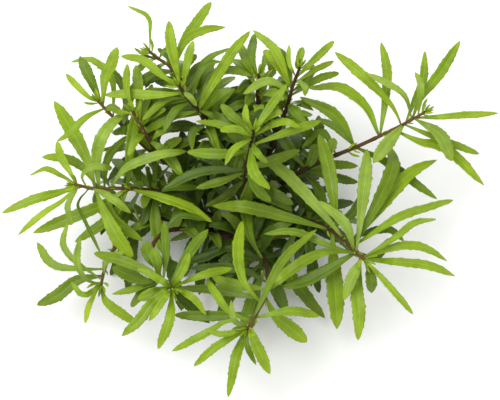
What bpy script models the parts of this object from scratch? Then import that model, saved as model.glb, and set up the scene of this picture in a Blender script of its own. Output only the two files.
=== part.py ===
"""Pogostemon quadrifolius: one plant of thirteen arching stems with whorls of narrow leaves.

The plant stands on the flat cut under its root crown. +Z is up, and the origin is the
middle of that cut. Every stem is a piece with its bud and its smaller leaves, and every
large leaf is a piece of its own.
"""

import math

import bmesh
import bpy
import numpy as np
from mathutils import Vector, kdtree

for old in list(bpy.data.objects):
    bpy.data.objects.remove(old, do_unlink=True)

# Units
MM = 0.001
GAP = 0.3 * MM

# The photograph's view, which turns a pixel and a height into a place
VIEW_STEEPNESS = math.radians(60)
VIEW_DISTANCE = 0.95
VIEW_TARGET = Vector((0, 0, 0.040))
PIXEL_SIZE = 0.55 * MM
MIDDLE_PIXEL = (250, 200)

# Root crown
CROWN_RADIUS = 17 * MM
CROWN_HEIGHT = 14 * MM
CROWN_SIDES = 18
CROWN_REACH = 1.15 * CROWN_RADIUS
CROWN_KNOTS = (0.09, 0.06)
CROWN_PROFILE = ((0.93, 0.0), (1.0, 0.25), (0.86, 0.55), (0.60, 0.82), (0.28, 0.98))

# Stems
STEM_RADIUS_LOW = 1.7 * MM
STEM_RADIUS_BUD = 0.8 * MM
STEM_SIDES = 5
STEM_STEPS = 9
FINE_STEPS = 12

# Leaves
LEAF_STEPS = 10
CURVE_POINTS = 12
LARGE_LEAF_STEPS = (0, 3, 6, 8, 9)
SMALL_LEAF_STEPS = (0, 4, 7, 9)
INNER_LEAF_STEPS = (0, 4, 8)
LEAF_PROFILE = (0.15, 0.25, 0.40, 0.57, 0.74, 0.89, 0.98, 1.0, 0.94, 0.74, 0.0)
LEAF_KEEL = 0.8 * MM
KEEL_TAPER = 0.6
LEAF_FOLD = 0.16
LEAF_ROLL = math.radians(16)
ROLL_CHANGE = 2.4
FOOT_OFFSET = 0.25 * MM
FOOT_TURNS = (2.4, 3.1, 1.7)
FOOT_CLEARANCE = 0.9 * MM
FACING_VIEW = 0.35

# Room that crossing leaves leave each other, measured along the line of sight
CLEARANCE = 2.6 * MM
CLOSE_IN_VIEW = 5.0
EASING_ROUNDS = 160
FOOT_SHARE = 0.25
CLOSE_FEET_SHARE = 0.2
STIFF_FOOT = 0.02
BEND_SHARE = 0.4
LOWEST = 1.2 * MM

# Each stem from the crown to its bud: pixel across, pixel down, height in mm
STEMS = {
    "west": [
        (203, 212, 22), (185, 203, 31), (158, 191, 41), (128, 189, 47),
        (108, 188, 49), (86, 189, 51), (74, 184, 54),
    ],
    "west_low": [
        (200, 229, 11), (180, 222, 15), (150, 219, 21), (127, 232, 27),
        (113, 250, 33), (104, 271, 38), (101, 285, 41),
    ],
    "south_west": [
        (208, 233, 22), (180, 229, 35), (160, 235, 45), (152, 250, 50),
        (157, 270, 55), (167, 286, 59), (173, 289, 62),
    ],
    "south": [
        (250, 242, 30), (262, 255, 40), (268, 274, 48), (266, 294, 54),
        (258, 311, 58), (251, 322, 62), (247, 330, 64),
    ],
    "south_east": [
        (275, 222, 28), (300, 219, 40), (329, 229, 48), (343, 239, 52),
        (353, 250, 55), (362, 257, 58), (366, 261, 60),
    ],
    "east": [
        (270, 195, 32), (300, 172, 50), (336, 155, 56), (356, 147, 59),
        (380, 136, 63), (402, 125, 68), (415, 118, 73), (425, 112, 78),
    ],
    "centre": [
        (243, 216, 34), (244, 197, 54), (246, 170, 75), (250, 150, 89),
        (254, 130, 101),
    ],
    "north_east": [
        (260, 178, 30), (272, 147, 48), (282, 120, 63), (288, 104, 73),
        (291, 91, 81), (296, 79, 87), (300, 67, 92),
    ],
    "north_tall": [
        (237, 184, 28), (220, 152, 50), (207, 123, 68), (199, 111, 75),
        (190, 101, 81), (181, 91, 87), (178, 84, 91),
    ],
    "north_west": [
        (216, 190, 26), (190, 176, 39), (155, 155, 50), (127, 130, 66),
        (113, 117, 72), (101, 106, 77), (97, 100, 81),
    ],
    "mid_west": [
        (168, 158, 52), (154, 146, 64), (141, 127, 76), (132, 110, 84),
    ],
    "north_twig": [
        (196, 104, 60), (182, 83, 68), (172, 68, 73), (160, 60, 78),
        (149, 51, 83),
    ],
    "north": [
        (266, 122, 58), (258, 100, 70), (258, 84, 79), (259, 74, 84),
    ],
}

# The stem that each of the upper three forks from
FORKS = {"mid_west": "north_west", "north_twig": "north_tall", "north": "north_east"}

# Large leaves: pixels from base to tip, width, height of the arch, and tip above base, in mm
LARGE_LEAVES = {
    "west": [
        ([(84, 188), (60, 192), (30, 201), (2, 213)], 5.2, 4, -4),
        ([(127, 190), (100, 206), (65, 220), (33, 233)], 6.9, 2, -14),
        ([(95, 190), (106, 215), (118, 238), (133, 257)], 7.3, 2, -16),
        ([(95, 188), (88, 162), (71, 129), (54, 101)], 7.3, 6, 0),
        ([(98, 186), (97, 155), (106, 130), (127, 111)], 6.5, 12, 24),
    ],
    "west_low": [
        ([(105, 268), (80, 269), (52, 264), (37, 242)], 4.7, 4, 0),
        ([(103, 276), (78, 280), (58, 295), (37, 305)], 6.5, 1, -16),
        ([(101, 285), (106, 301), (125, 316), (140, 325)], 4.7, 2, -10),
    ],
    "south_west": [
        ([(173, 289), (158, 277), (145, 270), (120, 260), (94, 253)], 5.6, 8, 0),
        ([(168, 289), (152, 303), (140, 319), (122, 336)], 5.6, 5, -8),
        ([(171, 289), (170, 318), (158, 349)], 5.2, 6, -8),
        ([(168, 286), (190, 252), (208, 229)], 6.0, 4, 2),
    ],
    "south": [
        ([(252, 320), (262, 300), (283, 260), (317, 229)], 4.7, 5, 4),
        ([(254, 318), (290, 311), (319, 316)], 4.7, 6, -6),
        ([(249, 326), (256, 345), (270, 374)], 5.6, 4, -10),
        ([(251, 322), (243, 338), (236, 358), (228, 397)], 5.2, 5, -16),
    ],
    "south_east": [
        ([(343, 239), (325, 216), (290, 178), (262, 157)], 6.9, 4, 2),
        ([(356, 252), (361, 215), (366, 170), (367, 149)], 6.5, 5, 4),
        ([(350, 246), (385, 200), (412, 172), (437, 160)], 6.9, 6, -6),
        ([(350, 247), (400, 217), (430, 207), (453, 200)], 5.6, 4, -8),
        ([(365, 260), (400, 262), (430, 266), (455, 276)], 4.7, 3, -8),
        ([(360, 256), (357, 290), (359, 315), (358, 340)], 6.5, 4, -14),
        ([(332, 231), (334, 275), (336, 305), (337, 329)], 8.6, 2, -20),
    ],
    "east": [
        ([(380, 136), (365, 106), (340, 88), (309, 88)], 6.9, 5, 6),
        ([(380, 136), (386, 95), (387, 70), (381, 42)], 5.2, 4, 6),
        ([(402, 125), (392, 106), (365, 78), (335, 52)], 5.6, 6, 10),
        ([(412, 120), (421, 98), (440, 73), (460, 41)], 5.6, 6, 6),
        ([(415, 118), (455, 116), (498, 113)], 4.7, 5, 0),
        ([(415, 119), (440, 135), (452, 161)], 6.5, 5, -8),
        ([(394, 129), (420, 142), (446, 149), (484, 185)], 6.0, 3, -12),
    ],
    "centre": [
        ([(254, 130), (268, 110), (287, 84)], 4.7, 5, 6),
        ([(251, 146), (285, 133), (321, 121)], 4.7, 6, 2),
        ([(249, 150), (220, 154), (187, 152)], 5.2, 5, 0),
    ],
    "north_east": [
        ([(291, 90), (276, 52), (253, 30)], 5.2, 6, 2),
        ([(296, 79), (312, 62), (334, 41)], 4.3, 6, 4),
        ([(291, 92), (268, 81), (243, 94)], 4.7, 8, 0),
    ],
    "north_tall": [
        ([(180, 90), (176, 68), (171, 45), (169, 21)], 5.6, 4, 6),
        ([(184, 94), (155, 95), (130, 94), (104, 95)], 5.2, 5, -6),
        ([(199, 111), (215, 80), (232, 53), (250, 31)], 6.0, 8, 8),
        ([(180, 91), (160, 74), (142, 60), (121, 56)], 5.2, 6, 4),
    ],
    "north_west": [
        ([(101, 106), (105, 80), (111, 65), (117, 47)], 6.5, 4, 2),
        ([(104, 109), (85, 118), (70, 133), (57, 141)], 4.3, 5, -8),
    ],
    "mid_west": [
        ([(139, 124), (139, 95), (136, 65)], 5.6, 4, 0),
    ],
    "north_twig": [
        ([(172, 68), (183, 42), (200, 18), (211, 2)], 5.6, 6, 4),
        ([(174, 70), (185, 41), (205, 30), (226, 27)], 4.7, 8, 2),
    ],
    "north": [
        ([(258, 80), (252, 58), (254, 34)], 5.2, 4, 0),
    ],
}

# Smaller leaves, in the same form
SMALL_LEAVES = {
    "west": [
        ([(78, 186), (62, 201), (42, 214), (18, 235)], 3.6, 5, -6),
        ([(77, 185), (60, 175), (46, 169), (30, 175)], 3.1, 6, -4),
        ([(76, 185), (70, 172), (61, 157), (57, 141)], 4.3, 5, 4),
        ([(79, 187), (68, 204), (69, 214), (72, 225)], 3.4, 7, 0),
        ([(91, 189), (105, 194), (118, 203), (131, 213)], 4.5, 8, 2),
        ([(98, 188), (82, 167), (62, 158), (42, 157)], 5.2, 3, -6),
        ([(128, 190), (115, 213), (98, 227), (75, 242)], 6.0, 1, -16),
        ([(90, 189), (78, 203), (84, 219), (101, 254)], 2.1, 2, -10),
        ([(86, 188), (82, 176), (92, 167), (112, 168)], 3.3, 10, 6),
        ([(110, 188), (125, 169), (155, 156), (187, 151)], 5.2, 14, 14),
        ([(131, 189), (160, 197), (188, 207), (212, 222)], 6.0, 4, -4),
        ([(128, 189), (129, 160), (133, 130), (140, 103)], 6.0, 12, 26),
        ([(158, 190), (180, 187), (202, 188)], 4.3, 4, 0),
        ([(108, 189), (113, 218), (143, 241)], 5.6, 0, -18),
        ([(104, 188), (108, 158), (127, 136)], 4.7, 1, -6),
        ([(157, 190), (155, 210), (157, 232), (163, 254)], 6.5, 1, -14),
    ],
    "west_low": [
        ([(101, 283), (86, 279), (77, 262), (80, 237)], 3.4, 8, 10),
        ([(101, 280), (74, 260), (63, 243), (68, 222)], 3.4, 6, 6),
        ([(101, 285), (84, 295), (71, 282)], 3.1, 8, 4),
        ([(100, 286), (90, 303), (85, 323)], 3.1, 4, -8),
        ([(103, 275), (106, 262), (125, 250)], 4.3, 8, 8),
    ],
    "south_west": [
        ([(173, 289), (160, 280), (148, 273), (137, 269)], 4.1, 7, 6),
        ([(159, 275), (145, 281), (112, 267)], 6.9, 1, -8),
        ([(168, 288), (155, 292), (138, 299)], 5.2, 4, -4),
        ([(163, 280), (130, 290), (112, 294)], 4.0, 1, -12),
        ([(162, 279), (143, 292), (131, 307)], 4.7, 0, -14),
        ([(171, 289), (158, 308), (149, 321)], 3.6, 5, -2),
        ([(169, 287), (193, 298), (206, 315)], 3.4, 5, -6),
        ([(165, 284), (188, 305), (210, 323)], 5.7, 1, -14),
        ([(172, 289), (183, 270), (189, 253)], 4.5, 6, 6),
        ([(163, 280), (166, 255), (164, 221)], 4.5, 2, 0),
        ([(172, 288), (200, 276), (233, 268)], 4.5, 6, -2),
        ([(154, 256), (180, 268), (188, 268)], 4.7, 2, -6),
        ([(160, 236), (180, 216), (205, 220)], 4.3, 5, 0),
    ],
    "south": [
        ([(266, 296), (275, 315), (290, 328), (307, 342)], 6.9, 1, -18),
        ([(247, 330), (247, 345), (256, 365)], 2.8, 3, -8),
        ([(247, 329), (217, 346), (194, 366)], 4.3, 5, -8),
        ([(248, 327), (228, 321), (205, 334), (172, 351)], 4.3, 6, -10),
        ([(247, 330), (222, 334), (205, 329)], 2.9, 4, 0),
        ([(248, 328), (234, 320), (231, 300)], 2.9, 8, 10),
        ([(252, 321), (230, 312), (217, 296), (207, 279)], 4.5, 4, 2),
        ([(256, 313), (215, 316), (174, 315)], 5.3, 2, -10),
        ([(262, 303), (243, 280), (238, 250), (242, 221)], 5.6, 4, 4),
        ([(267, 290), (230, 284), (212, 276)], 6.0, 2, -6),
        ([(264, 300), (215, 290), (178, 288)], 4.8, 0, -12),
        ([(265, 262), (250, 235), (246, 200), (250, 179)], 6.5, 2, 4),
    ],
    "south_east": [
        ([(330, 229), (290, 218), (245, 207), (212, 206)], 6.5, 3, 2),
        ([(354, 251), (345, 224), (319, 201)], 5.6, 6, 6),
        ([(352, 250), (383, 192), (393, 165), (390, 146)], 7.7, 4, -2),
        ([(362, 257), (393, 239), (415, 223), (436, 219)], 3.9, 7, 2),
        ([(362, 257), (400, 246), (425, 248), (447, 261)], 4.3, 6, -4),
        ([(364, 259), (390, 287), (413, 314)], 3.6, 6, -8),
        ([(364, 260), (370, 272), (372, 293)], 5.6, 4, -8),
        ([(362, 257), (352, 278), (344, 300)], 5.6, 5, -4),
        ([(358, 254), (330, 246), (295, 232), (264, 234)], 4.0, 7, 4),
        ([(356, 253), (325, 271), (305, 281), (282, 287)], 6.9, 0, -14),
        ([(356, 252), (325, 252), (295, 267), (265, 291)], 6.0, 2, -8),
        ([(338, 235), (333, 195), (328, 165), (319, 134)], 6.9, 6, 14),
        ([(328, 229), (318, 190), (305, 174)], 6.0, 1, -8),
        ([(300, 220), (285, 262), (305, 295), (325, 318)], 6.9, 0, -28),
        ([(344, 240), (385, 229), (404, 241)], 4.3, 2, -8),
    ],
    "east": [
        ([(356, 147), (335, 116), (300, 97)], 6.9, 1, 0),
        ([(356, 147), (335, 127), (318, 119)], 4.0, 3, 4),
        ([(412, 120), (402, 93), (366, 73)], 4.3, 10, 12),
        ([(405, 123), (414, 102), (423, 80), (425, 51)], 4.3, 4, 8),
        ([(418, 116), (421, 86), (415, 72)], 3.6, 6, 12),
        ([(403, 125), (437, 138), (479, 154)], 4.3, 3, -8),
        ([(403, 125), (388, 143), (373, 163)], 6.9, 3, -8),
        ([(336, 155), (322, 132), (302, 148)], 3.9, 3, -4),
        ([(300, 172), (330, 165), (358, 166)], 5.2, 1, -8),
        ([(305, 170), (335, 178), (358, 182)], 6.0, 0, -12),
        ([(306, 169), (290, 150), (275, 128)], 6.9, 1, -6),
    ],
    "centre": [
        ([(253, 133), (232, 116), (221, 104)], 4.7, 5, 2),
        ([(252, 140), (246, 119), (246, 104)], 3.6, 4, 4),
        ([(254, 131), (268, 117), (282, 111)], 3.3, 4, 2),
        ([(253, 136), (280, 122), (300, 127)], 4.1, 6, 2),
        ([(252, 140), (225, 126), (196, 121)], 4.5, 5, 0),
        ([(253, 136), (235, 129), (220, 130)], 4.5, 6, 4),
        ([(253, 138), (234, 149), (225, 165)], 3.4, 5, 2),
        ([(251, 146), (254, 172), (270, 189)], 5.3, 5, 0),
        ([(251, 143), (258, 154), (268, 163)], 3.8, 6, 4),
        ([(246, 170), (200, 172), (162, 190)], 5.6, 2, -12),
        ([(246, 172), (222, 181), (196, 188)], 4.7, 0, -8),
        ([(246, 172), (258, 190), (271, 202)], 5.6, 1, -4),
        ([(246, 170), (280, 158), (300, 150)], 5.6, 1, -8),
    ],
    "north_east": [
        ([(299, 70), (299, 60), (303, 47)], 4.0, 3, 4),
        ([(292, 89), (279, 66), (264, 50)], 5.2, 4, -4),
        ([(293, 86), (285, 60), (278, 47)], 4.7, 3, -2),
        ([(296, 79), (289, 62), (289, 45)], 2.6, 5, 6),
        ([(294, 84), (315, 70), (334, 61)], 3.3, 3, -4),
        ([(290, 93), (306, 80), (316, 66)], 3.4, 3, -4),
        ([(296, 79), (305, 87), (305, 96)], 3.6, 5, 2),
        ([(289, 97), (318, 79), (339, 73)], 4.3, 3, -6),
        ([(288, 104), (296, 112), (299, 124)], 6.0, 3, -4),
    ],
    "north_tall": [
        ([(181, 91), (186, 70), (189, 55), (193, 41)], 4.3, 7, 10),
        ([(182, 93), (165, 91), (145, 89)], 3.8, 2, -6),
        ([(182, 92), (190, 97), (197, 106)], 3.6, 6, 4),
        ([(186, 98), (165, 101), (142, 120)], 3.8, 5, -4),
        ([(190, 102), (175, 111), (163, 132)], 4.3, 3, -6),
        ([(199, 111), (170, 118), (139, 135)], 4.7, 5, -4),
        ([(198, 110), (210, 79), (230, 70), (252, 76)], 4.5, 9, 2),
        ([(190, 101), (205, 62), (230, 48)], 3.8, 3, 0),
        ([(184, 95), (205, 66), (221, 61)], 3.3, 7, 4),
        ([(195, 106), (205, 86), (212, 71)], 3.8, 3, -2),
        ([(205, 120), (214, 137), (220, 156)], 4.5, 5, -2),
        ([(207, 124), (193, 132), (192, 150)], 4.7, 2, -6),
        ([(199, 111), (209, 114), (217, 121)], 2.9, 6, 4),
    ],
    "north_west": [
        ([(98, 102), (90, 98), (78, 87), (66, 74)], 3.6, 6, 2),
        ([(101, 106), (92, 83), (86, 70), (80, 56)], 5.7, 3, 0),
        ([(113, 117), (112, 80), (92, 60), (71, 62)], 3.8, 2, -6),
        ([(104, 109), (113, 108), (124, 115)], 4.3, 4, 0),
        ([(127, 130), (124, 90), (110, 70), (97, 68)], 4.3, -2, -12),
    ],
    "mid_west": [
        ([(133, 113), (127, 90), (127, 64)], 3.8, 5, 4),
        ([(150, 140), (165, 152), (183, 177)], 6.0, 4, -8),
        ([(141, 127), (146, 105), (152, 84)], 3.8, 2, -4),
    ],
    "north_twig": [
        ([(150, 52), (150, 35), (148, 17), (128, 6)], 2.4, 5, 2),
        ([(158, 60), (165, 50), (176, 47)], 2.2, 3, 0),
        ([(160, 60), (147, 56), (134, 48)], 1.7, 1, -4),
    ],
    "north": [
        ([(258, 78), (247, 62), (241, 44)], 5.6, 2, -4),
        ([(259, 76), (264, 64), (264, 54)], 2.6, 4, 6),
        ([(259, 80), (272, 72), (268, 58)], 4.3, 1, -4),
    ],
}

# Leaves that show between the outer ones, in the same form: each lies as deep as it needs
INNER_LEAVES = {
    "west": [
        ([(157, 190), (155, 172), (151, 145)], 3.4, 2, -6),
        ([(110, 188), (103, 176), (93, 166)], 3.0, 4, 0),
        ([(128, 189), (112, 204), (101, 235)], 4.6, 2, -10),
        ([(175, 200), (193, 228), (170, 241)], 4.2, 2, -10),
        ([(158, 191), (178, 196), (198, 206)], 5.4, 6, -2),
        ([(98, 188), (96, 198), (97, 208)], 3.6, 1, -4),
    ],
    "west_low": [
        ([(127, 232), (140, 225), (158, 221)], 5.0, 6, 2),
    ],
    "south_west": [
        ([(190, 231), (175, 218), (150, 206)], 5.0, 3, -4),
        ([(152, 250), (135, 244), (112, 240)], 5.0, 2, -8),
        ([(152, 250), (150, 238), (158, 222)], 5.0, 7, 0),
    ],
    "south": [
        ([(252, 244), (222, 250), (205, 257), (185, 262)], 5.6, 3, -6),
        ([(267, 283), (243, 270), (215, 268), (190, 268)], 5.2, 3, -6),
        ([(266, 262), (272, 280), (276, 299)], 5.0, 0, -10),
        ([(264, 258), (290, 250), (318, 244)], 5.0, 3, -6),
    ],
    "south_east": [
        ([(300, 219), (285, 205), (272, 188)], 5.2, 3, -2),
        ([(353, 250), (375, 257), (390, 238)], 4.2, 1, -8),
        ([(329, 229), (352, 214), (361, 196)], 5.0, 2, -6),
        ([(315, 224), (300, 240), (278, 252)], 5.0, 1, -8),
    ],
    "east": [
        ([(356, 147), (388, 163), (412, 181), (437, 199)], 5.4, 2, -14),
        ([(318, 163), (300, 150), (290, 132)], 5.2, 3, -6),
        ([(336, 155), (352, 172), (366, 196)], 5.2, 2, -10),
        ([(300, 172), (318, 186), (340, 200)], 5.0, 1, -10),
        ([(285, 183), (300, 200), (322, 212)], 5.0, 1, -8),
        ([(336, 155), (318, 158), (300, 168)], 5.2, 7, -4),
    ],
    "centre": [
        ([(245, 180), (225, 197), (205, 206)], 5.2, 2, -10),
        ([(245, 182), (262, 172), (285, 168)], 5.2, 2, -8),
        ([(250, 150), (240, 160), (236, 178)], 4.6, 2, -6),
    ],
    "north_east": [
        ([(284, 115), (305, 130), (322, 150)], 6.0, 3, -8),
        ([(278, 132), (262, 120), (240, 118)], 5.0, 3, -4),
        ([(288, 104), (272, 100), (262, 90)], 4.6, 1, -6),
        ([(286, 110), (279, 122), (268, 136)], 5.0, 7, -6),
    ],
    "north_tall": [
        ([(199, 111), (192, 90), (197, 68)], 4.8, 1, -6),
        ([(212, 134), (190, 140), (170, 152)], 5.2, 3, -6),
        ([(216, 142), (235, 132), (255, 112)], 5.0, 3, -4),
        ([(207, 123), (214, 140), (226, 158)], 5.2, 7, -4),
        ([(203, 117), (212, 98), (226, 84)], 4.8, 1, -6),
        ([(210, 130), (222, 112), (242, 100)], 5.0, 2, -6),
        ([(190, 101), (172, 104), (156, 110)], 4.6, 1, -8),
    ],
    "north_west": [
        ([(140, 142), (120, 148), (100, 150)], 4.8, 3, -6),
        ([(155, 155), (150, 138), (158, 118)], 4.8, 2, -6),
        ([(170, 164), (160, 175), (140, 182)], 4.8, 2, -8),
        ([(113, 117), (130, 127), (150, 136)], 5.4, 7, 4),
        ([(108, 112), (122, 106), (134, 94)], 4.6, 2, -6),
        ([(127, 130), (146, 146), (166, 155)], 5.4, 7, 2),
    ],
    "north_twig": [
        ([(182, 83), (168, 84), (152, 78)], 4.2, 2, -8),
        ([(178, 76), (170, 60), (158, 48)], 3.8, 2, -4),
    ],
    "mid_west": [
        ([(150, 140), (165, 130), (180, 128)], 5.0, 2, -6),
        ([(146, 134), (128, 138), (112, 150)], 5.0, 2, -8),
        ([(138, 121), (148, 135), (156, 152)], 5.0, 7, 0),
    ],
}
INNER_LEAF_ROOM = 2.5 * MM
SINK_STEP = 2.5 * MM
SINK_STEPS = 12
COVER_PIXELS = 2.5

# Whorls on the inner stretch of each stem, under the outer foliage, follow a rule: from one
# share of the stem's length to another, a leaf grows at each turn where it has room.
INNER_WHORLS_FROM = 0.22
INNER_WHORLS_TO = {
    "west": 0.66, "west_low": 0.55, "south_west": 0.60, "south": 0.55, "south_east": 0.52, "east": 0.50,
    "centre": 0.84, "north_east": 0.62, "north_tall": 0.66, "north_west": 0.66, "mid_west": 0.60,
}
INNER_WHORL_SPACING = 24 * MM
INNER_LEAF_TURNS = (-0.25, 1.55, 3.35)
INNER_LEAF_LENGTH = 33 * MM
INNER_LEAF_WIDTH = 5.5 * MM
INNER_LEAF_SPREAD = math.radians(64)
INNER_LEAF_DROOP = 0.22
INNER_LEAF_CREST = 0.55
INNER_LENGTH_CHANGE = 0.15
INNER_WHORL_TURN = 0.5
ROOM_STEPS = 22

EYE_DIRECTION = Vector((0, -math.cos(VIEW_STEEPNESS), math.sin(VIEW_STEEPNESS)))
EYE = VIEW_TARGET + VIEW_DISTANCE * EYE_DIRECTION
VIEW_RIGHT = Vector((1, 0, 0))
VIEW_UP = EYE_DIRECTION.cross(VIEW_RIGHT)


def place(across, down, height):
    """The point at a height that the photograph shows at a pixel."""
    aim = VIEW_TARGET
    aim = aim + VIEW_RIGHT * (across - MIDDLE_PIXEL[0]) * PIXEL_SIZE
    aim = aim + VIEW_UP * (MIDDLE_PIXEL[1] - down) * PIXEL_SIZE
    ray = aim - EYE
    return EYE + ray * ((height - EYE.z) / ray.z)


def as_seen(points):
    """Pixels and distance from the eye of an array of points."""
    offset = points - np.array(EYE)
    depth = -(offset @ np.array(EYE_DIRECTION))
    scale = VIEW_DISTANCE / depth / PIXEL_SIZE
    across = offset @ np.array(VIEW_RIGHT) * scale + MIDDLE_PIXEL[0]
    down = MIDDLE_PIXEL[1] - offset @ np.array(VIEW_UP) * scale
    return across, down, depth


def smooth_line(points, steps):
    """Even steps along a smooth curve through the points."""
    points = [Vector(point) for point in points]
    padded = [2 * points[0] - points[1]] + points + [2 * points[-1] - points[-2]]
    fine = []
    for index in range(1, len(padded) - 2):
        before, start, end, after = padded[index - 1:index + 3]
        for share in np.linspace(0, 1, CURVE_POINTS, endpoint=False):
            bend = (2 * start + (end - before) * share
                    + (2 * before - 5 * start + 4 * end - after) * share ** 2
                    + (3 * start - before - 3 * end + after) * share ** 3)
            fine.append(bend / 2)
    fine.append(points[-1])
    fine = np.array(fine)
    lengths = np.linalg.norm(np.diff(fine, axis=0), axis=1)
    walked = np.concatenate([[0], np.cumsum(lengths)])
    wanted = np.linspace(0, walked[-1], steps + 1)
    return np.stack([np.interp(wanted, walked, fine[:, axis]) for axis in range(3)], axis=1)


def stem_line(name):
    """Middle line of a stem, from the crown's heart or from the stem that it forks from."""
    traced = [place(across, down, height * MM) for across, down, height in STEMS[name]]
    if name in FORKS:
        parent = stem_line(FORKS[name])
        nearest = min(parent, key=lambda point: (Vector(point) - traced[0]).length)
        start = Vector(nearest)
    else:
        start = Vector((0, 0, 0.4 * CROWN_HEIGHT))
    rings = smooth_line([start] + traced, STEM_STEPS)
    wanted = np.linspace(0, STEM_STEPS, STEM_STEPS * FINE_STEPS + 1)
    return np.stack([np.interp(wanted, range(STEM_STEPS + 1), rings[:, axis]) for axis in range(3)], axis=1)


def stem_radius(share):
    """Radius at a share of the way from the foot of a stem to its bud."""
    return STEM_RADIUS_LOW + (STEM_RADIUS_BUD - STEM_RADIUS_LOW) * share


def leaf_foot(point, index):
    """A leaf's foot, a hair off the middle of its stem so that no two feet coincide."""
    across, along, upward = (turn * index for turn in FOOT_TURNS)
    off_axis = Vector((math.sin(across), math.cos(along), math.sin(upward)))
    return Vector(point) + off_axis * FOOT_OFFSET


def traced_leaf(stem, traced, arch, lift, index):
    """Middle line of a leaf: it starts on its stem and arches to its tip."""
    across, down, _ = as_seen(stem)
    nearest = np.argmin((across - traced[0][0]) ** 2 + (down - traced[0][1]) ** 2)
    base = leaf_foot(stem[min(nearest, len(stem) - 2)], index)
    runs = [0]
    for start, end in zip(traced, traced[1:]):
        runs.append(runs[-1] + math.dist(start, end))
    points = [base]
    for run, (pixel_across, pixel_down) in zip(runs[1:], traced[1:]):
        share = run / runs[-1]
        height = base.z + (lift * share + 4 * arch * share * (1 - share)) * MM
        points.append(place(pixel_across, pixel_down, max(height, LOWEST)))
    return smooth_line(points, LEAF_STEPS)


def blade_frame(line, roll):
    """Side and upward directions along a leaf, turned by its roll."""
    ahead = np.gradient(line, axis=0)
    ahead /= np.linalg.norm(ahead, axis=1)[:, None]
    facing = np.array(Vector((0, 0, 1)) + FACING_VIEW * EYE_DIRECTION)
    up = facing - (ahead @ facing)[:, None] * ahead
    surest = np.argmax(np.linalg.norm(up, axis=1))
    for order in (range(surest - 1, -1, -1), range(surest + 1, len(line))):
        known = up[surest]
        for step in order:
            known = known - (ahead[step] @ known) * ahead[step]
            up[step] = known
    up /= np.linalg.norm(up, axis=1)[:, None]
    side = np.cross(ahead, up)
    turned_side = side * math.cos(roll) + up * math.sin(roll)
    turned_up = up * math.cos(roll) - side * math.sin(roll)
    return turned_side, turned_up


def all_leaves(stems):
    """Every leaf as a record of its stem, its own name if it is large, its line and its width."""
    leaves = []
    for stem, entries in LARGE_LEAVES.items():
        for number, (traced, width, arch, lift) in enumerate(entries, 1):
            line = traced_leaf(stems[stem], traced, arch, lift, len(leaves))
            leaves.append({"stem": stem, "name": f"{stem}_leaf_{number}", "line": line, "width": width * MM})
    for stem, entries in SMALL_LEAVES.items():
        for traced, width, arch, lift in entries:
            line = traced_leaf(stems[stem], traced, arch, lift, len(leaves))
            leaves.append({"stem": stem, "name": None, "line": line, "width": width * MM})
    for index, leaf in enumerate(leaves):
        leaf["roll"] = LEAF_ROLL * math.sin(ROLL_CHANGE * index)
    return leaves


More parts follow.
